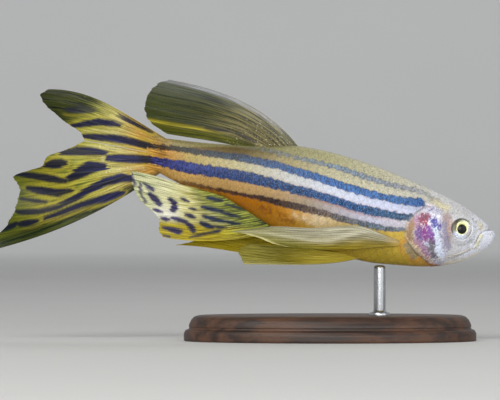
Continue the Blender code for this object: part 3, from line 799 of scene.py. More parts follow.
SCALE_PITCH, ROW_PITCH = 1.06, 0.84
SCALE_LENGTH, SCALE_TALL = 1.62, 1.52
SCALE_GRID = (10, 9)
SCALE_LIFT, SCALE_THICK = 0.02, 0.015
SCALE_SUNK, SCALE_CROWN = 0.055, 0.012
SCALE_ROWS = range(-11, 10)
FIRST_SCALE, LAST_SCALE = 33.2, -0.9
SCALE_SIZES = [(-2, 0.5), (3, 0.58), (10, 0.72), (20, 0.98), (34, 1.0)]
SKIN_END = -1.9
PATCH = 0.004


class Arcs:
    """Angles on the body for stations and distances along the skin from its widest line."""

    def __init__(self):
        self.stations = np.linspace(SKIN_END, 33, 190)
        self.reach = np.linspace(-11, 11, 441)
        angles = np.linspace(0, math.pi, 721)
        self.table = np.zeros((len(self.stations), len(self.reach)))
        self.up, self.down = np.zeros((2, len(self.stations)))
        for i, station in enumerate(self.stations):
            ring = body_point(np.full(angles.shape, station), angles)
            run = np.concatenate([[0], np.cumsum(np.linalg.norm(np.diff(ring, axis=0), axis=1))])
            run = run - np.interp(math.pi / 2, angles, run)
            self.table[i] = np.interp(-self.reach, run, angles)
            self.up[i], self.down[i] = -run[0], run[-1]

    def angle(self, x, s):
        i, j = (np.clip((at - ends[0]) / (ends[1] - ends[0]), 0, len(ends) - 1.001)
                for at, ends in ((x, self.stations), (s, self.reach)))
        a, b = i.astype(int), j.astype(int)
        return between(self.table, a, b, i - a, j - b)


def scale_roots(arcs):
    """Each scale's station, run from the widest line, size, and room up and down."""
    shrink = curve(SCALE_SIZES)
    roots = []
    for row in SCALE_ROWS:
        x = FIRST_SCALE - (0.5 * SCALE_PITCH if row % 2 else 0.0)
        while x > LAST_SCALE:
            size = float(shrink(x))
            s = row * ROW_PITCH * size
            up, down = (float(np.interp(x, arcs.stations, limit)) for limit in (arcs.up, arcs.down))
            z = float(body_point(np.array(x), arcs.angle(np.array(x), np.array(s)))[2])
            behind_gills = x < float(opening_x(z)) - 0.1 + (0.5 if z > 3 else 0.0)
            ahead_of_fin = x > 0.5 + 0.3 * (z / 2) ** 2 + rng.uniform(-0.4, 0.3)
            if -down - 0.2 < s < up + 0.2 and behind_gills and ahead_of_fin:
                roots.append((x, s, size, up, down))
            x -= SCALE_PITCH * (0.55 + 0.45 * size)
    return np.array(roots)


def build_scales():
    arcs = Arcs()
    p, q = np.meshgrid(np.linspace(0, 1, SCALE_GRID[0]), np.linspace(-1, 1, SCALE_GRID[1]), indexing="ij")
    p = p ** 0.9
    both_p, both_q = (np.tile(share.ravel(), 2) for share in (p, q))
    for side, name in SIDES:
        roots = scale_roots(arcs)
        count, per = len(roots), len(both_p)
        x0, s0, size, up, down = (roots[:, k, None, None] for k in range(5))
        wobble = rng.normal(0, 1, (count, 4)).T[..., None, None]
        length = SCALE_LENGTH * (0.55 + 0.45 * size) * (1 + 0.03 * wobble[0])
        tall = SCALE_TALL * size * (1 + 0.03 * wobble[1])
        shoulders = 0.72 + 0.28 * np.sin(math.pi * np.minimum(p / 0.62, 1) / 2)
        x = x0 - length * (p * np.sqrt(1 - (0.72 * q) ** 2) - 0.1) + 0.02 * wobble[2]
        s = np.clip(s0 + q * tall / 2 * shoulders * (1 - 0.1 * p ** 3), -down + 0.02, up - 0.02)
        x = np.clip(x, SKIN_END, None)
        angle = arcs.angle(x, s)
        lift = SCALE_LIFT * (0.5 + 0.5 * size)
        height = -SCALE_SUNK + lift * p + SCALE_CROWN * (1 - q * q) * p + 0.003 * wobble[3] * p
        out = body_normal(x, angle, side)
        spot = tapered(body_point(x, angle, side), x)
        faces_at = [height, height - SCALE_THICK * (1 - 0.8 * p ** 3)]
        points = np.concatenate([(spot + out * h[..., None]).reshape(count, -1, 3) for h in faces_at], 1)
        faces = (shell_faces(*SCALE_GRID)[None] + (np.arange(count) * per)[:, None, None]).reshape(-1, 4)
        flat = points.reshape(-1, 3)
        fields = markings(flat[:, 0], flat[:, 2])
        fields["free"], fields["across"] = np.tile(both_p, count), np.tile(both_q, count)
        fields["jitter"] = np.repeat(rng.uniform(-1, 1, count), per)
        root_uv = np.stack([(x0.ravel() + 2) / 44, 0.5 + s0.ravel() / 24], 1)
        local = np.stack([both_p - 0.5, both_q / 2], 1)
        uv = (root_uv[:, None] + PATCH * local[None]).reshape(-1, 2)
        piece = build("scales_" + name, flat, faces, fields, uv[faces.ravel()], crisp=True)
        settle(piece, coat_material("scales_" + name, 1.0), "skin")


# The coat's added tones. The glow tone is a painted highlight in the stripes; the scale rim tone is painted
# shade at each scale's free edge.
COAT = dict(speck=(104, 98, 92), rust=(138, 84, 68), glow=(104, 152, 206), outline=(70, 52, 58),
            scale_rim=(74, 72, 78))


def coat_material(name, scaled):
    """Skin and scales: ground, stripes with granular edges and painted highlights, speckles, a silver sheen,
    painted shade on each scale and fine relief.
    """
    m = Shade(name)
    place = m.place()
    coarse, fine, grain = m.noise(place, 0.42, 2), m.noise(place, 0.13, 2), m.noise(place, 0.2, 3, 0.7)
    free, head = m.field("free"), m.field("head")
    speckle, strength = m.field("speckle"), m.field("strength")
    edge = m.field("stripe") + (coarse - 0.5) * 3.6 + (fine - 0.5) * 4.2 + m.field("jitter") * 0.4
    mask = m.step(edge, -0.8, 0.8) * strength

    ground = m.scaled(m.tone("ground"), (grain - 0.5) * speckle * 1.5 + 1.0)
    ground = m.scaled(ground, m.step(fine, 0.3, 0.7, 0.86, 1.1))
    dots = m.step(m.cells(m.place(1, 0.6, 1), 0.3), 0.42, 0.2) * speckle
    dots = dots * m.step(m.noise(place, 0.7, 1), 0.38, 0.6)
    ground = m.mix(dots * 0.62, ground, COAT["speck"])
    ground = m.mix(m.field("rust") * m.step(grain, 0.3, 0.6, 0.3, 0.8), ground, COAT["rust"])

    blotch = m.noise(m.place(1, 0.6, 0.45), 0.2, 3, 0.75)
    tint = m.scaled(m.tone("tint"), m.step(blotch, 0.36, 0.64, 0.42, 1.5))
    # Painted highlights flecked into the stripes
    tint = m.mix(m.step(fine, 0.5, 0.66) * (m.field("glow") * 0.42), tint, COAT["glow"])
    line = 1.0 - m.math("MINIMUM", m.math("ABSOLUTE", edge - 0.2), 1.0)
    base = m.mix(mask, ground, tint)
    base = m.mix(line * strength * 0.4, base, COAT["outline"])
    if scaled:
        # Painted shade and light on each scale: darker at its front, a little lighter towards its free rear
        # edge, and a dark rim at that edge where it stands over the next scale
        base = m.scaled(base, m.step(free, 0.2, 0.72, 0.94, 1.05))
        base = m.mix(m.step(free, 0.8, 1.0) * (mask * 0.22 + 0.2), base, COAT["scale_rim"])
    spokes = m.math("SINE", m.field("across") * 34.0)
    height = spokes * (free * (0.2 * scaled)) + (fine * 0.9 + grain * 0.6)
    return m.finish(base=base, metal=m.field("shine") * (1.0 - mask * 0.5),
                    rough=m.step(coarse, 0.3, 0.7, 0.32, 0.46) + head * 0.06, coat=0.1, coat_rough=0.16,
                    normal=m.bump(height, 0.4, 0.03), ior=1.4, specular=0.22)


# Eyes

IRIS_RINGS, WALL_RINGS, EYE_AROUND = 38, 8, 96
# How far the eye's edge lies under the skin, and how far the iris and the pupil dome out
EYE_SUNK, EYE_DOME, PUPIL_DOME = 0.07, 0.26, 0.05
EYE_WALL = (0.08, 0.7)
IRIS = dict(silver=(226, 234, 250), fore=(190, 188, 190), top=(222, 224, 198), rear=(92, 88, 72),
            gold=(232, 234, 182), inner=(228, 226, 140), arc=(58, 50, 42), pupil=(14, 13, 14))


def build_eye(side, name):
    middle, facing, across, upward = eye_frame(side)
    radius = np.concatenate([np.linspace(0.001, EYE_RADIUS, IRIS_RINGS), np.full(WALL_RINGS, EYE_RADIUS)])
    drop = np.concatenate([np.zeros(IRIS_RINGS), np.linspace(*EYE_WALL, WALL_RINGS)])
    dome = -EYE_SUNK + EYE_DOME * np.sqrt(np.clip(1 - (radius / (EYE_RADIUS + 0.04)) ** 2, 0, 1))
    dome = dome + PUPIL_DOME * np.sqrt(np.clip(1 - (radius / PUPIL_RADIUS) ** 2, 0, 1))
    dome = dome - 0.035 * bell(radius - PUPIL_RADIUS - 0.07, 0.06) - drop
    angle = turns(EYE_AROUND)[:, None]
    spoke = np.cos(angle) * across + np.sin(angle) * upward
    wide = radius * (1 - 0.12 * smooth(drop, 0.1, EYE_WALL[1]))
    points = middle + wide[:, None, None] * spoke + dome[:, None, None] * facing
    fields = dict(reach=np.repeat(radius, EYE_AROUND), up=np.tile(np.sin(angle).ravel(), len(radius)),
                  fore=np.tile(np.cos(angle).ravel(), len(radius)))
    piece = build_rings("eyeball_" + name, points, disc_uv, fields)
    settle(piece, eye_material("eye_" + name), "eye", "eye_" + name)


def eye_material(name):
    """A silver eye with a gold ring, darker above and behind, round a black pupil."""
    m = Shade(name)
    place = m.place()
    reach, up, fore = m.field("reach"), m.field("up"), m.field("fore")
    ragged = reach + (m.noise(place, 0.2, 2) - 0.5) * 0.14
    streak = m.noise(place, 0.09, 3, 0.7)
    high_rear = m.step(up - fore * 0.9, -0.3, 0.7)
    ring = m.mix(m.step(fore, 0.2, 1.0), IRIS["silver"], IRIS["fore"])
    ring = m.mix(m.step(up, 0.45, 0.9), ring, IRIS["top"])
    ring = m.mix(m.step(up * 0.3 - fore * 0.9, 0.25, 0.85), ring, IRIS["rear"])
    gold_out = m.step(up, 0.0, 0.9) * 0.24 + 0.64
    ring = m.mix(1.0 - m.step(ragged - gold_out, -0.04, 0.07), ring, IRIS["gold"])
    ring = m.mix(m.step(ragged, 0.68, 0.6) * 0.6, ring, IRIS["inner"])
    ring = m.scaled(ring, m.step(streak, 0.3, 0.7, 0.74, 1.16))
    ring = m.mix(m.step(ragged, 1.07, 1.13) * (high_rear * 0.65 + 0.2), ring, IRIS["arc"])
    base = m.mix(m.step(reach, PUPIL_RADIUS + 0.02, PUPIL_RADIUS - 0.02), ring, IRIS["pupil"])
    return m.finish(base=base, metal=m.step(reach, PUPIL_RADIUS - 0.02, PUPIL_RADIUS + 0.03) * 0.45,
                    rough=m.step(streak, 0.3, 0.7, 0.2, 0.34), coat=0.3, coat_rough=0.04,
                    normal=m.bump(streak, 0.2, 0.02), specular=0.12)


# Fins

MEMBRANE, RAY = 0.06, 0.16
# A ray's two forks: where each starts, how far its branches part, and the length they part in
FORKS = [(0.3, 0.15, 0.25), (0.58, 0.075, 0.22)]
FRAY = 0.007
PLAIN_FIN = dict(ink=(60, 60, 90), glint=0.5, rays=0.5, sparkle=0.0, mark=OUTSIDE, inked=1.0, cover=0.93)
FIN = dict(joint=(84, 78, 44), sparkle=(244, 236, 196), ink_edge=(14, 17, 34))


def fin_points(base, margin, leave, arrive, reach, u, v):
    """Points of a fin's plan: each ray is a curve from the base to the margin."""
    root, tip = (np.stack([curve([(p[0], p[i]) for p in points])(u) for i in (1, 2)], -1)
                 for points in (base, margin))
    far = np.linalg.norm(tip - root, axis=-1, keepdims=True)
    out, end = np.radians(curve(leave)(u)), np.radians(curve(arrive)(u))
    first = root + reach * far * np.stack([np.cos(out), np.sin(out)], -1)
    last = tip - reach * far * np.stack([np.cos(end), np.sin(end)], -1)
    v = v[..., None]
    return root * (1 - v) ** 3 + first * 3 * v * (1 - v) ** 2 + last * 3 * v * v * (1 - v) + tip * v ** 3


def build_fin(name, node, base, margin, leave, arrive, rays, lateral, paint, reach=0.36, per_ray=16, rows=84,
              fold=None):
    """A fine fin on the solid's own plan: thin membrane, jointed rays that fork, a frayed margin."""
    columns = per_ray * (rays - 1) + 1
    u, v = np.meshgrid(np.linspace(0, 1, columns), np.linspace(0, 1, rows) ** 1.15, indexing="ij")
    phase = u * (rays - 1)
    ray = np.round(phase)
    lean = rng.normal(0, 0.05, rays + 1)[ray.astype(int)]
    off = np.abs(phase - ray - lean * smooth(v, 0.1, 0.6) * (np.abs(phase - ray) < 0.35))
    first, second = (apart * smooth(v, start, start + length) for start, apart, length in FORKS)
    near = np.abs(np.abs(off - first) - second)
    ridge = bell(near, 0.055)
    fray = FRAY * (np.minimum(near / 0.07, 1) + mottle(phase * 4, 0, 1.0, len(name)) - 0.3)
    reach_v = v * (1 - fray * smooth(v, 0.6, 1.0))
    x, z = np.moveaxis(fin_points(base, margin, leave, arrive, reach, u, reach_v), -1, 0)
    if fold:
        z = z + fold(u, x)
    middle = np.stack([x, lateral(u, reach_v, x, z), z], -1)
    out = np.cross(np.gradient(middle, axis=0), np.gradient(middle, axis=1))
    out /= np.maximum(np.linalg.norm(out, axis=-1, keepdims=True), 1e-9)
    raised = np.maximum(ridge, bell(phase, 0.35)) * (1 - 0.55 * v) * 1.3
    thick = lerp(MEMBRANE, RAY, raised) * (1 - 0.45 * v ** 3)
    ripple = 0.02 * np.sin(phase * 2 * math.pi) * smooth(v, 0.2, 0.9)
    points = np.concatenate([(middle + out * (ripple + half)[..., None]).reshape(-1, 3)
                             for half in (thick / 2, -thick / 2)])

    def both_faces(value):
        """A tone or a number, or an array of either, for every point of the fin."""
        value = np.asarray(light(value), float)
        shape = u.shape + (3,) * (value.ndim in (1, 3))
        return np.concatenate([np.broadcast_to(value, shape).reshape(u.size, *shape[2:])] * 2)

    painted = paint(*to_view(x, z), u, v)
    fields = {"ray": ridge, "lane": phase, "out": v, **PLAIN_FIN, **painted}
    fields = {key: both_faces(value) for key, value in fields.items()}
    under_side = np.repeat((0, 1), u.size)
    uv = np.stack([0.01 + 0.485 * np.tile(u.ravel(), 2) + 0.495 * under_side,
                   0.01 + 0.98 * np.tile(v.ravel(), 2)], 1)
    faces = shell_faces(columns, rows)
    piece = build(name, points, faces, fields, uv[faces.ravel()], crisp=True)
    settle(piece, fin_material(name), "fin", node)


def fin_material(name):
    """A fibrous membrane with paler, jointed rays and streaked dark marks."""
    m = Shade(name)
    ray, out, lights = m.field("ray"), m.field("out"), m.tone("lights")
    fibre = m.noise(m.add("ShaderNodeCombineXYZ", (m.field("lane") * 6.5, out * 4.0, 0.0)), 1.0, 3, 0.65)
    speck = m.noise(m.place(), 0.24, 3, 0.7)
    base = m.scaled(m.tone("tone"), m.step(fibre, 0.36, 0.64, 0.56, 1.36))
    base = m.mix(m.step(fibre, 0.45, 0.62) * m.field("glint"), base, lights)
    base = m.mix(ray * m.field("rays"), base, lights)
    joint = m.math("SINE", out * 260.0)
    base = m.mix(m.step(joint, 0.4, 1.0) * (ray * 0.35), base, FIN["joint"])
    base = m.mix(m.step(speck, 0.56, 0.68) * m.field("sparkle"), base, FIN["sparkle"])
    edge = m.field("mark") + (fibre - 0.5) * 4.2 + (speck - 0.5) * 2.2
    mark = m.step(edge, -1.7, 1.4)
    ink = m.mix(m.step(fibre, 0.35, 0.7), FIN["ink_edge"], m.tone("ink"))
    base = m.mix(mark * m.field("inked") * (1.0 - ray * 0.06), base, ink)
    cover = m.field("cover") + ray * 0.2 + (fibre - 0.5) * 0.3
    alpha = m.math("MINIMUM", m.math("MAXIMUM", cover, mark * 0.97), 1.0)
    return m.finish(base=base, rough=m.step(fibre, 0.3, 0.7, 0.32, 0.48), coat=0.04, coat_rough=0.18,
                    alpha=alpha, normal=m.bump(fibre * 0.6 + joint * (ray * 0.2), 0.3, 0.05), specular=0.14)


# Dark marks on the fins, each a run of (across, down, half-width) in points of the side view
TAIL_STROKES = [
    [(72, 125.5, 1.4), (84, 123.4, 2.6), (99, 121.5, 3.2), (112, 123, 2.6), (121, 125.5, 1.0)],
    [(82, 135.6, 1.6), (96, 136.8, 2.8), (115, 138, 3.3), (134, 142, 3.2), (150, 146, 3.0), (170, 148, 2.6)],
    [(62, 152.4, 2.0), (76, 151, 3.7), (90, 151, 3.8), (105, 153, 1.8)],
    [(107, 158, 2.4), (119, 158.2, 3.7), (134, 158.8, 3.8), (152, 159.8, 3.4), (168, 162.5, 4.0)],
    [(43, 164.7, 2.0), (50, 163.8, 4.2), (58, 163.2, 4.2), (65, 162.8, 1.8)],
    [(66, 180.6, 2.4), (79, 172.6, 5.2), (91, 167.4, 6.0), (104, 166.4, 3.2)],
    [(13, 174, 1.2), (29, 175.2, 2.6), (46, 178, 3.5), (62, 180.8, 2.2)],
    [(24, 187.8, 1.4), (38, 190.2, 3.1), (57, 193, 3.6), (71, 190.4, 1.5)],
    [(22, 199, 1.0), (34, 201, 1.8), (46, 202.2, 0.9)],
    [(16, 212.4, 1.8), (38, 211.8, 2.4), (57, 207.4, 2.5), (72, 200, 2.8), (86, 191.4, 3.3), (105, 182, 4.1),
     (122, 178, 4.2), (134, 178.6, 2.2)],
    [(18, 224.6, 1.8), (27, 223.2, 2.7), (36, 221, 1.4)],
    [(44, 218.4, 1.4), (63, 212.2, 2.3), (82, 204.6, 2.8), (103, 198, 3.3), (121, 193, 1.8)],
    [(-6, 232, 1.0), (8, 227, 1.8), (16, 223, 1.0)],
    [(118, 114, 0.8), (128, 119.5, 1.6), (142, 127, 1.4), (152, 132, 0.8)],
    [(66, 109.5, 2.0), (78, 109, 3.4), (92, 110, 1.6)],
]
ANAL_SPOTS = [
    [(144, 183.6, 1.4), (149, 187, 2.3), (154, 190.4, 1.4)],
    [(150, 193.6, 2.2), (154.5, 198.6, 4.0), (159.5, 204, 2.8)],
    [(170, 199.4, 2.4), (174.5, 203, 3.0), (174, 209, 4.0)],
    [(181.5, 198.6, 1.2), (185, 200, 2.0), (188.5, 201.6, 1.2)],
    [(153.5, 209.2, 1.2), (158, 210.8, 2.2), (162, 212, 1.2)],
    [(190, 208.4, 1.2), (193.5, 209.2, 1.8), (197, 209.8, 1.0)],
    [(186, 214.6, 1.8), (190.5, 216, 2.7), (194.6, 217.6, 1.6)],
    [(160.5, 218, 1.4), (165, 219, 2.6), (168.5, 219.4, 1.4)],
    [(172, 217.8, 1.6), (179, 219.6, 2.6), (186, 222, 2.5), (191.4, 227, 3.2), (194, 231, 2.6)],
    [(164, 227.6, 1.6), (171, 229, 2.6), (178, 231.4, 3.4), (182, 231, 1.8)],
    [(203, 207, 1.6), (212, 209.2, 2.5), (222, 211.2, 1.8)],
    [(222, 212.2, 1.4), (231, 215, 2.2), (240, 217, 1.2)],
    [(208, 197.4, 1.4), (215, 199.4, 2.4), (222, 200.8, 1.4)],
    [(203.4, 216, 1.8), (213, 218.8, 2.6), (224, 221.4, 1.8)],
    [(222, 220.6, 1.2), (231, 222.8, 2.1), (240, 224.2, 1.0)],
    [(201.6, 223, 2.2), (206.5, 225.2, 3.3), (212.5, 227.4, 2.0)],
    [(213, 226.2, 1.2), (220, 227.4, 1.9), (227, 227.4, 0.8)],
    [(190, 237, 1.0), (199, 235, 1.8), (208, 233, 1.2), (218, 231.4, 1.8), (222, 230, 0.8)],
    [(139.6, 183, 1.0), (141, 190, 1.7), (142.4, 197, 1.2)],
    [(142, 197, 1.2), (145.4, 202, 1.5)],
    [(163, 235.2, 1.0), (169, 236.8, 1.4)],
    [(131, 174, 1.6), (133, 180, 2.0), (135, 186, 1.2)],
    [(226, 204, 0.8), (236, 207, 1.4), (246, 210, 0.8)],
    [(260, 223, 0.6), (266, 222, 1.1)],
]
DORSAL_FLECKS = [[(206, 128, 1.0), (218, 129.5, 1.8), (228, 131, 0.6)],
                 [(236, 133, 0.8), (247, 138, 1.8), (256, 142, 0.8)]]


class Anal:
    """Tones of the anal fin."""

    ground = [(130, (128, 142, 88)), (150, (162, 170, 120)), (166, (196, 196, 148)), (190, (188, 180, 92)),
              (205, (130, 122, 26)), (235, (80, 88, 18)), (262, (76, 84, 24))]
    ink = [(130, (84, 76, 122)), (172, (66, 58, 116)), (196, (54, 52, 92)), (206, (34, 54, 96)),
           (245, (26, 42, 56))]
    lights, front_lights, root_lights = (224, 220, 180), (206, 188, 44), (186, 194, 84)
    root, root_span = (48, 60, 10), (180, 215)
    # A painted highlight along a fold of the fin, and the line it runs along
    white, white_line = (232, 232, 236), [(160, 213), (172, 215)]
    front, front_from, front_rows = (140, 120, 8), 190, (219, 227)


class Dorsal:
    """Tones of the dorsal fin."""

    root, middle, tip = (62, 58, 32), (42, 48, 16), (42, 52, 8)
    lead, band, low, streak = (86, 90, 82), (166, 168, 174), (60, 66, 8), (176, 160, 44)
    lights, tip_lights, low_lights, ink = (180, 168, 114), (76, 80, 42), (116, 112, 26), (48, 46, 52)


class Pectoral:
    """Tones of the pectoral fins."""

    upper, lower, tip = (156, 152, 124), (130, 112, 14), (90, 88, 16)
    # The crest tone is a painted highlight along the crest of a fold across the fin, and the fold tone is
    # painted shade in its trough
    crest, fold, shade = (206, 202, 178), (96, 88, 34), (120, 104, 48)
    root, margin = (222, 190, 106), (220, 214, 150)
    lights, low_lights, tip_lights = (224, 220, 198), (182, 166, 64), (158, 154, 78)


class Pelvic:
    """Tones of the pelvic fins, near and far."""

    root, tip, margin, lights = (196, 174, 40), (98, 92, 10), (184, 178, 120), (184, 174, 84)
    far, far_lights = (160, 142, 0), (196, 176, 40)


def strokes(px, py, lines):
    """Depth inside the nearest mark, below zero outside them all."""
    best = OUTSIDE
    for line in lines:
        for start, end in zip(line, line[1:]):
            gap, t = stretch_gap(px, py, start, end)
            best = np.maximum(best, lerp(start[2], end[2], t) - gap)
    return best


def streaked(px, u, v, far, lines):
    """Places shifted along the rays, so that marks end in streaks."""
    return px + far * (mottle(u * lines, v * 3.0, 1.0, 11) - 0.5)


def tail_paint(px, py, u, v):
    high = fade(px + 1.5 * py, *Tail.upper_span)
    low = smooth(py - (Tail.lower_row - Tail.lower_slope * px), -5, 5)
    mark = strokes(streaked(px, u, v, 7.0, 60.0), py, TAIL_STROKES)
    halo = smooth(mark, -5.5, -2.2) * smooth(px, *Tail.halo_span) * smooth(py, *Tail.halo_rows)
    pale = np.minimum(sum(bell(distance(px, py, line), half) for line, half in Tail.streaks), 1)
    root_ink = smooth(px, *Tail.root_ink_span) * fade(py, *Tail.root_ink_rows)
    quiet = 1 - 0.6 * smooth(px, *Tail.quiet_span)
    sparkle = 0.5 * bell(distance(px, py, Tail.sparkle), 9.0) + 0.15 * smooth(px, *Tail.sparkle_span)
    return dict(tone=layers(tail_ground(px, py), (Tail.upper_tip, high), (Tail.lower_edge, low),
                            (Tail.halo, 0.55 * halo), (Tail.pale, 0.5 * pale)),
                lights=layers(along(Tail.lights, px), (Tail.dull, high * 0.9), (Tail.dull, low * 0.85)),
                ink=blend(along(Tail.ink, px), Tail.root_ink, root_ink), mark=mark + 0.5, sparkle=sparkle,
                glint=(0.35 + 0.5 * smooth(px, *Tail.glint_span)) * quiet,
                rays=(0.35 + 0.3 * smooth(px, *Tail.rays_span)) * quiet,
                inked=0.6 + 0.4 * smooth(py, *Tail.inked_rows),
                cover=0.95 + 0.04 * smooth(px, *Tail.rays_span))


def anal_paint(px, py, u, v):
    root = fade(v, 0.12, 0.4 + 0.25 * smooth(px, *Anal.root_span))
    # Painted highlight along the fin's fold
    white = bell(distance(px, py, Anal.white_line), 7.5)
    front = smooth(py - 0.1 * (px - Anal.front_from), *Anal.front_rows)
    mark = strokes(streaked(px, u, v, 3.0, 50.0), py, ANAL_SPOTS)
    return dict(tone=layers(along(Anal.ground, px), (Anal.root, root * 0.8), (Anal.white, 0.92 * white),
                            (Anal.front, front * 0.9)),
                lights=layers(Anal.lights, (Anal.front_lights, front), (Anal.root_lights, root)),
                ink=along(Anal.ink, px), glint=0.75 + 0.1 * root, rays=0.6 + 0.3 * root,
                sparkle=0.3 * white, mark=mark - 0.3)


def dorsal_paint(px, py, u, v):
    band = fade(u, 0.05, 0.14) * smooth(v, 0.05, 0.35) * (0.85 - 0.3 * smooth(v, 0.75, 1.0))
    low = smooth(u, 0.74, 0.84)
    return dict(tone=layers(Dorsal.root, (Dorsal.middle, smooth(v, 0.2, 0.6)),
                            (Dorsal.tip, smooth(v, 0.7, 1.0) * 0.8), (Dorsal.lead, fade(u, 0.15, 0.4) * 0.7),
                            (Dorsal.band, band), (Dorsal.low, low * 0.8),
                            (Dorsal.streak, 0.8 * bell(u - 0.79, 0.035) * smooth(v, 0.3, 0.6))),
                lights=layers(Dorsal.lights, (Dorsal.tip_lights, smooth(v, 0.25, 0.75)),
                              (Dorsal.low_lights, low)),
                ink=Dorsal.ink, inked=0.7, mark=strokes(px, py, DORSAL_FLECKS),
                glint=0.42 - 0.2 * smooth(v, 0.2, 0.8), rays=0.6 - 0.2 * smooth(v, 0.3, 0.9),
                sparkle=0.5 * fade(v, 0.1, 0.45), cover=0.97 - 0.03 * smooth(v, 0.3, 0.9))


def pectoral_paint(px, py, u, v):
    # A fold running along the fin: painted highlight on its crest, painted shade in its trough
    wave = u - 0.5 + 0.3 * np.cos(5.5 * v)
    grown = smooth(v, 0.05, 0.2)
    edge = smooth(v, 0.955, 0.99) * smooth(u, 0.2, 0.4)
    return dict(tone=layers(Pectoral.upper, (Pectoral.lower, smooth(u, 0.35, 0.7)),
                            (Pectoral.tip, smooth(v, 0.5, 0.95) * 0.85),
                            (Pectoral.crest, 0.7 * bell(wave + 0.16, 0.1) * grown),
                            (Pectoral.fold, 0.6 * bell(wave, 0.1) * grown),
                            (Pectoral.shade, 0.35 * fade(v, 0.15, 0.35) * smooth(u, 0.2, 0.5)),
                            (Pectoral.root, 0.9 * fade(v, 0.02, 0.12)), (Pectoral.margin, edge)),
                lights=layers(Pectoral.lights, (Pectoral.low_lights, smooth(u, 0.45, 0.9)),
                              (Pectoral.tip_lights, smooth(v, 0.55, 0.95) * 0.8)),
                glint=0.75 - 0.35 * u, rays=0.65 - 0.2 * u,
                cover=0.84 + 0.12 * fade(v, 0.05, 0.5) + 0.15 * edge)


def pelvic_paint(px, py, u, v):
    return dict(tone=layers(Pelvic.root, (Pelvic.tip, smooth(v, 0.25, 0.8)),
                            (Pelvic.margin, fade(u, 0.0, 0.16) * 0.7)), lights=Pelvic.lights)


def far_pelvic_paint(px, py, u, v):
    return dict(tone=Pelvic.far, lights=Pelvic.far_lights, cover=0.95)


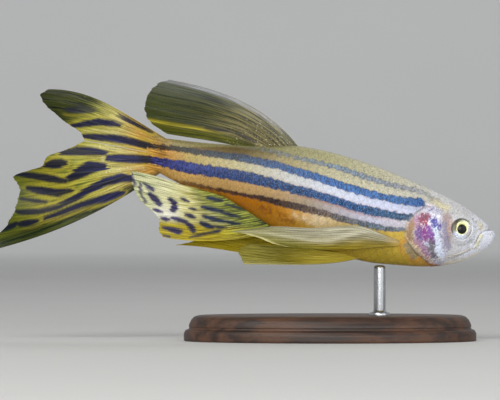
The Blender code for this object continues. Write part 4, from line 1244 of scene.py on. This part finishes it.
def build_fins():
    sunk, root_x, half_gap = 0.6, 0.7, 0.02
    build_fin("dorsal_rays", "dorsal_fin",
              base=[(u, x, float(back(x)) - sunk) for u, x in ((0, 15.9), (0.5, 13.4), (1, 10.9))],
              margin=[(0, -1.1, 8.75), (0.12, -2.1, 8.2), (0.25, -2.8, 7.3), (0.42, -3.2, 6.1),
                      (0.56, -3.2, 5.2), (0.7, -2.8, 4.2), (0.83, -2.1, 3.45), (0.92, -1.1, 3.0),
                      (1, 0.2, 2.6)],
              leave=[(0, 138), (0.5, 150), (1, 178)], arrive=[(0, 184), (0.5, 180), (1, 184)], rays=9,
              lateral=lambda u, v, x, z: 0.25 * v * np.sin(5 * u + 2.5 * v) + 0.5 * v * v, paint=dorsal_paint)
    build_fin("anal_rays", "anal_fin",
              base=[(u, x, float(belly(x)) + sunk) for u, x in ((0, 16.2), (0.5, 11.8), (1, 7.4))],
              margin=[(0, 2.5, -9.2), (0.12, 1.85, -8.5), (0.25, 1.75, -7.6), (0.37, 1.2, -6.9),
                      (0.5, 0.1, -6.3), (0.62, -1.2, -5.5), (0.75, -2.0, -4.6), (0.88, -2.55, -3.7),
                      (1, -2.8, -2.65)],
              leave=[(0, 208), (0.5, 207), (0.8, 208), (1, 198)],
              arrive=[(0, 183), (0.5, 183), (0.8, 178), (1, 190)], rays=14, paint=anal_paint, per_ray=14,
              lateral=lambda u, v, x, z: -0.7 * v * v + 0.3 * v * np.sin(7 * u + 1.5))

    def tail_side(u, v, x, z):
        return sway(x) + 0.5 * v * np.sin(0.9 * z + 1.5) * v

    build_fin("tail_rays_upper", "caudal_fin_upper",
              base=[(0, root_x, 1.9), (0.5, root_x, 1.0), (1, root_x, half_gap)],
              margin=[(0, -14.7, 4.35), (0.12, -15.45, 3.5), (0.25, -14.7, 2.6), (0.42, -13.1, 1.75),
                      (0.62, -11.4, 0.95), (0.8, -9.9, 0.45), (1, -9.1, -0.42)],
              leave=[(0, 164), (0.5, 174), (1, 181)], arrive=[(0, 195), (0.4, 186), (1, 184)], rays=10,
              lateral=tail_side, paint=tail_paint, per_ray=14, rows=90)
    build_fin("tail_rays_lower", "caudal_fin_lower",
              base=[(0, root_x, -half_gap), (0.5, root_x, -0.9), (1, root_x, -1.8)],
              margin=[(0, -9.1, -0.5), (0.12, -11.2, -2.2), (0.22, -12.9, -3.3), (0.28, -13.2, -4.4),
                      (0.38, -14.8, -5.5), (0.47, -16.3, -6.6), (0.54, -15.1, -7.9), (0.64, -15.1, -9.6),
                      (0.75, -15.5, -11.7), (0.88, -16.8, -14.1), (1, -18.4, -16.4)],
              leave=[(0, 181), (0.5, 202), (1, 229)], arrive=[(0, 184), (0.4, 197), (1, 206)], rays=9,
              lateral=tail_side, paint=tail_paint, per_ray=18, rows=110)
    for side, name in SIDES:
        build_fin("pectoral_rays_" + name, "pectoral_fin_" + name,
                  base=[(0, 29.75, -3.05), (0.5, 29.85, -3.25), (1, 29.9, -3.5)],
                  margin=[(0, 9.9, -6.75), (0.3, 11.4, -6.55), (0.55, 13.2, -6.6), (0.8, 15.0, -6.85),
                          (1, 16.6, -6.8)],
                  leave=[(0, 178), (0.5, 183), (1, 196)], arrive=[(0, 203), (0.5, 190), (1, 186)], rays=11,
                  lateral=lambda u, v, x, z, s=side: s * (2.1 + 1.35 * (1 - np.exp(-v / 0.05)) + 1.1 * v
                                                          + 0.2 * v * np.sin(4 * u + 5 * v)),
                  paint=pectoral_paint, reach=0.45, per_ray=12,
                  fold=lambda u, x: bell(u, 0.32) * (0.5 * bell(x - 24.6, 2.4) - 0.5 * bell(x - 18.7, 3.2)))
    pelvic_margins = {"right": [(0, 12.4, -10.0), (0.25, 11.9, -9.3), (0.5, 11.5, -8.8), (0.75, 11.7, -8.2),
                                (1, 12.6, -7.5)],
                      "left": [(0, 4.1, -9.8), (0.25, 5.9, -8.95), (0.5, 6.7, -8.3), (0.75, 7.6, -7.6),
                               (1, 8.6, -6.9)]}
    for (side, name), paint in zip(SIDES, (pelvic_paint, far_pelvic_paint)):
        build_fin("pelvic_rays_" + name, "pelvic_fin_" + name,
                  base=[(0, 25.7, -5.9), (0.5, 25.2, -5.85), (1, 24.6, -5.8)], margin=pelvic_margins[name],
                  leave=[(0, 212), (0.5, 206), (1, 188)], arrive=[(0, 194), (0.5, 186), (1, 190)], rays=8,
                  lateral=lambda u, v, x, z, s=side: s * (0.75 + 1.5 * v - 0.35 * u * v
                                                          + 0.15 * np.sin(6 * v)),
                  paint=paint, reach=0.3, per_ray=12, rows=60)


# Barbels: their course as (station, off the skin, height), then the radius at the root and at the tip
BARBELS = {
    "maxillary": ([(37.6, -0.3, -1.95), (37.35, 0.12, -2.15), (36.8, 0.26, -2.6), (36.0, 0.3, -3.1),
                   (35.2, 0.34, -3.55), (34.3, 0.42, -3.95), (33.5, 0.55, -4.35)], 0.1, 0.025),
    "rostral": ([(38.3, -0.25, 1.0), (38.22, 0.1, 0.86), (38.1, 0.22, 0.6), (37.85, 0.26, 0.3),
                 (37.55, 0.28, -0.1), (37.25, 0.3, -0.5)], 0.08, 0.02),
}
BARBEL_AROUND = 14
BARBEL = dict(dark=(166, 158, 146), pale=(212, 206, 196))


def tube_points(path, radii):
    ahead = np.gradient(path, axis=0)
    ahead /= np.linalg.norm(ahead, axis=1, keepdims=True)
    side = np.cross(ahead, (0, 0.2, 1))
    side /= np.linalg.norm(side, axis=1, keepdims=True)
    a = turns(BARBEL_AROUND)[None, :, None]
    ring = np.cos(a) * side[:, None] + np.sin(a) * np.cross(side, ahead)[:, None]
    return path[:, None] + ring * radii[:, None, None]


def build_barbels():
    for side, name in SIDES:
        for kind, (course, thick, tip) in BARBELS.items():
            line = [(x, side * (float(half_width(x, z)) + off), z) for x, off, z in course]
            path = np.array(round_line(line, 8))
            radii = np.linspace(thick, tip, len(path))
            radii[-1] = tip * 0.2
            piece = build_rings(f"feeler_{kind}_{name}", tube_points(path, radii))
            m = Shade(piece.name)
            grain = m.noise(m.place(), 0.12, 3)
            base = m.mix(m.step(grain, 0.3, 0.7), BARBEL["dark"], BARBEL["pale"])
            finish = m.finish(base=base, rough=m.step(grain, 0.3, 0.7, 0.3, 0.42), coat=0.3, coat_rough=0.12,
                              normal=m.bump(grain, 0.3, 0.02))
            settle(piece, finish, "barbel", f"barbel_{kind}_{name}")


# Stand

# A turned form is closed this near its axis
AXIS = 0.0005
# The base's moulding, from its middle out and back: share of its reach, height out of MOULDING_TALL
MOULDING_TALL = 3.0
MOULDING = [(0.2, 0.0), (0.99, 0.0), (1.0, 0.12), (1.0, 0.9), (0.985, 1.25), (0.955, 1.42), (0.95, 1.6),
            (0.955, 1.72), (0.95, 2.0), (0.93, 2.5), (0.905, 2.82), (0.87, 2.97), (0.85, 3.0), (AXIS, 3.0)]
# The rod's collar: how far beyond the rod and above the base. Its tip: share of its radius, how far down
COLLAR = [(0.5, 0), (0.5, 0.22), (0.42, 0.32), (0.16, 0.36), (0, 0.55)]
ROD_TIP = [(1, 0.5), (0.97, 0.22), (0.8, 0.06), (0.45, 0)]
STAND = dict(dark_wood=(44, 30, 24), pale_wood=(88, 58, 40), pores=(26, 18, 16), dark_steel=(150, 152, 156),
             pale_steel=(198, 200, 204))


def wood_material():
    m = Shade("dark_wood")
    warp = m.noise(m.place(0.1, 0.5, 0.5), 2.0, 3)
    growth = m.noise(m.vector("ADD", m.place(0.05, 1.0, 1.0), m.even(warp * 1.4)), 1.3, 5, 0.6)
    pores = m.step(m.noise(m.place(0.35, 3.2, 3.2), 0.5, 2), 0.6, 0.72)
    wood = m.mix(m.step(growth, 0.35, 0.65), STAND["dark_wood"], STAND["pale_wood"])
    wood = m.mix(pores * 0.6, wood, STAND["pores"])
    return m.finish(base=wood, rough=m.step(growth, 0.3, 0.7, 0.46, 0.6), coat=0.08, coat_rough=0.3,
                    normal=m.bump(growth * 0.4 - pores, 0.25, 0.06))


def steel_material():
    m = Shade("steel")
    brushed = m.noise(m.place(6, 6, 0.5), 0.6, 4, 0.7)
    base = m.mix(brushed, STAND["dark_steel"], STAND["pale_steel"])
    return m.finish(base=base, metal=1.0, rough=m.step(brushed, 0.2, 0.8, 0.2, 0.36),
                    normal=m.bump(brushed, 0.12, 0.02))


def build_stand():
    low, high = (np.array(c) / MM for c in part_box("stand_base"))
    half_long, half_deep, tall = (high[0] - low[0]) / 2, (high[1] - low[1]) / 2, high[2]
    fine = [(AXIS, 0.0)]
    for start, end in zip(np.array(MOULDING), np.array(MOULDING[1:])):
        fine += [lerp(start, end, t) for t in (0, 0.25, 0.5, 0.75)]
    reach, height = np.array(fine + MOULDING[-1:]).T
    inset = (1 - reach) * half_long
    long, deep = (np.where(reach > 0.8, half - inset * 0.75, half * reach) for half in (half_long, half_deep))
    base = turned("base_oval", long, deep, height * tall / MOULDING_TALL, 200,
                  uv=lambda rows, around: disc_uv(rows, around, 0.02))
    settle(base, wood_material(), "stand_wood", "stand_base")

    low, high = (np.array(c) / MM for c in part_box("stand_rod"))
    centre, r, top = (low + high) / 2, (high[0] - low[0]) / 2, high[2]
    profile = [(AXIS, low[2]), (r, low[2]), (r, tall - 0.001)]
    profile += [(r + beyond, tall + up) for beyond, up in COLLAR]
    profile += [(r * share, top - down) for share, down in ROD_TIP] + [(AXIS, top)]
    wide, height = zip(*profile)
    rod = turned("rod_and_collar", wide, wide, height, 48, centre)
    rod.data.set_sharp_from_angle(angle=math.radians(40))
    settle(rod, steel_material(), "stand_steel", "stand_rod")


# Studio

FLOOR_RINGS = [0.5, 20.0, 60.0, 150.0, 300.0, 500.0, 700.0, 850.0]
SWEEP_FROM, SWEEP_RADIUS = 850, 350
WALL_RADIUS, WALL_HEIGHTS = 1200.0, (600.0, 1000.0)
STUDIO = dict(dark=(204, 204, 202), pale=(214, 214, 212), glow=(0.97, 0.98, 1.0, 1), sky=(0.92, 0.95, 1.0, 1))
# The backdrop's own light grows over this span of distance from the stand
GLOW_SPAN, GLOW_STRENGTH, SKY_STRENGTH = (250.0, 1100.0), 0.2, 0.2
AIM = (-0.005, 0, 0.02)
# Name, place, size, power and tone
LAMPS = [("key", (-0.16, -0.3, 0.3), (0.26, 0.2), 0.9, (1.0, 0.985, 0.96)),
         ("fill", (0.3, -0.26, 0.12), (0.3, 0.3), 0.4, (0.96, 0.98, 1.0)),
         ("rim", (0.1, 0.24, 0.34), (0.4, 0.2), 0.26, (1, 1, 1)),
         ("low", (-0.02, -0.56, 0.12), (0.5, 0.16), 1.2, (1.0, 0.98, 0.94))]


def build_studio():
    run = [(r, 0.0) for r in FLOOR_RINGS]
    run += [(SWEEP_FROM + SWEEP_RADIUS * math.sin(t), SWEEP_RADIUS * (1 - math.cos(t)))
            for t in np.linspace(0.08, math.pi / 2, 20)]
    reach, height = zip(*run, *((WALL_RADIUS, z) for z in WALL_HEIGHTS))
    floor = turned("backdrop", reach, reach, height, 96, uv=None)
    m = Shade("backdrop")
    place = m.place()
    base = m.mix(m.noise(place, 90.0, 2), STUDIO["dark"], STUDIO["pale"])
    from_stand = m.vector("LENGTH", m.place(1, 1, 0), out=1)
    m.surface.inputs["Emission Color"].default_value = STUDIO["glow"]
    grain = m.bump(m.noise(place, 1.2, 3), 0.05, 0.1)
    glow = m.step(from_stand, *GLOW_SPAN, 0.0, GLOW_STRENGTH)
    floor.data.materials.append(m.finish(base=base, rough=0.75, normal=grain, glow=glow))

    for name, at, size, power, tone in LAMPS:
        data = bpy.data.lights.new(name, "AREA")
        data.shape = "RECTANGLE"
        data.size, data.size_y = size
        data.energy = power
        data.color = tone
        lamp = bpy.data.objects.new(name, data)
        bpy.context.scene.collection.objects.link(lamp)
        lamp.location = at
        lamp.visible_camera = False
        lamp.rotation_euler = (Vector(AIM) - Vector(at)).to_track_quat("-Z", "Y").to_euler()
    world = bpy.data.worlds.new("studio")
    bpy.context.scene.world = world
    world.use_nodes = True
    sky = world.node_tree.nodes["Background"]
    sky.inputs["Color"].default_value = STUDIO["sky"]
    sky.inputs["Strength"].default_value = SKY_STRENGTH
    bpy.context.scene.view_settings.view_transform = "Standard"


def place_camera():
    away, sensor = 500.0, 36.0
    data = bpy.data.cameras.new("camera")
    data.sensor_width = sensor
    data.lens = sensor * away / (VIEW_SIZE[0] * POINT)
    data.clip_start, data.clip_end = 0.01, 5.0
    camera = bpy.data.objects.new("camera", data)
    bpy.context.scene.collection.objects.link(camera)
    right = TAIL_BASE[0] + (VIEW_SIZE[0] / 2 - ORIGIN_POINT[0]) * POINT
    up = TAIL_BASE[2] + (ORIGIN_POINT[1] - VIEW_SIZE[1] / 2) * POINT
    camera.location = Vector((right, -away, up)) * MM
    camera.rotation_euler = (math.pi / 2, 0, 0)
    bpy.context.scene.camera = camera


place_camera()
build_skin()
build_scales()
for eye_side, eye_name in SIDES:
    build_eye(eye_side, eye_name)
build_fins()
build_barbels()
build_stand()
build_studio()
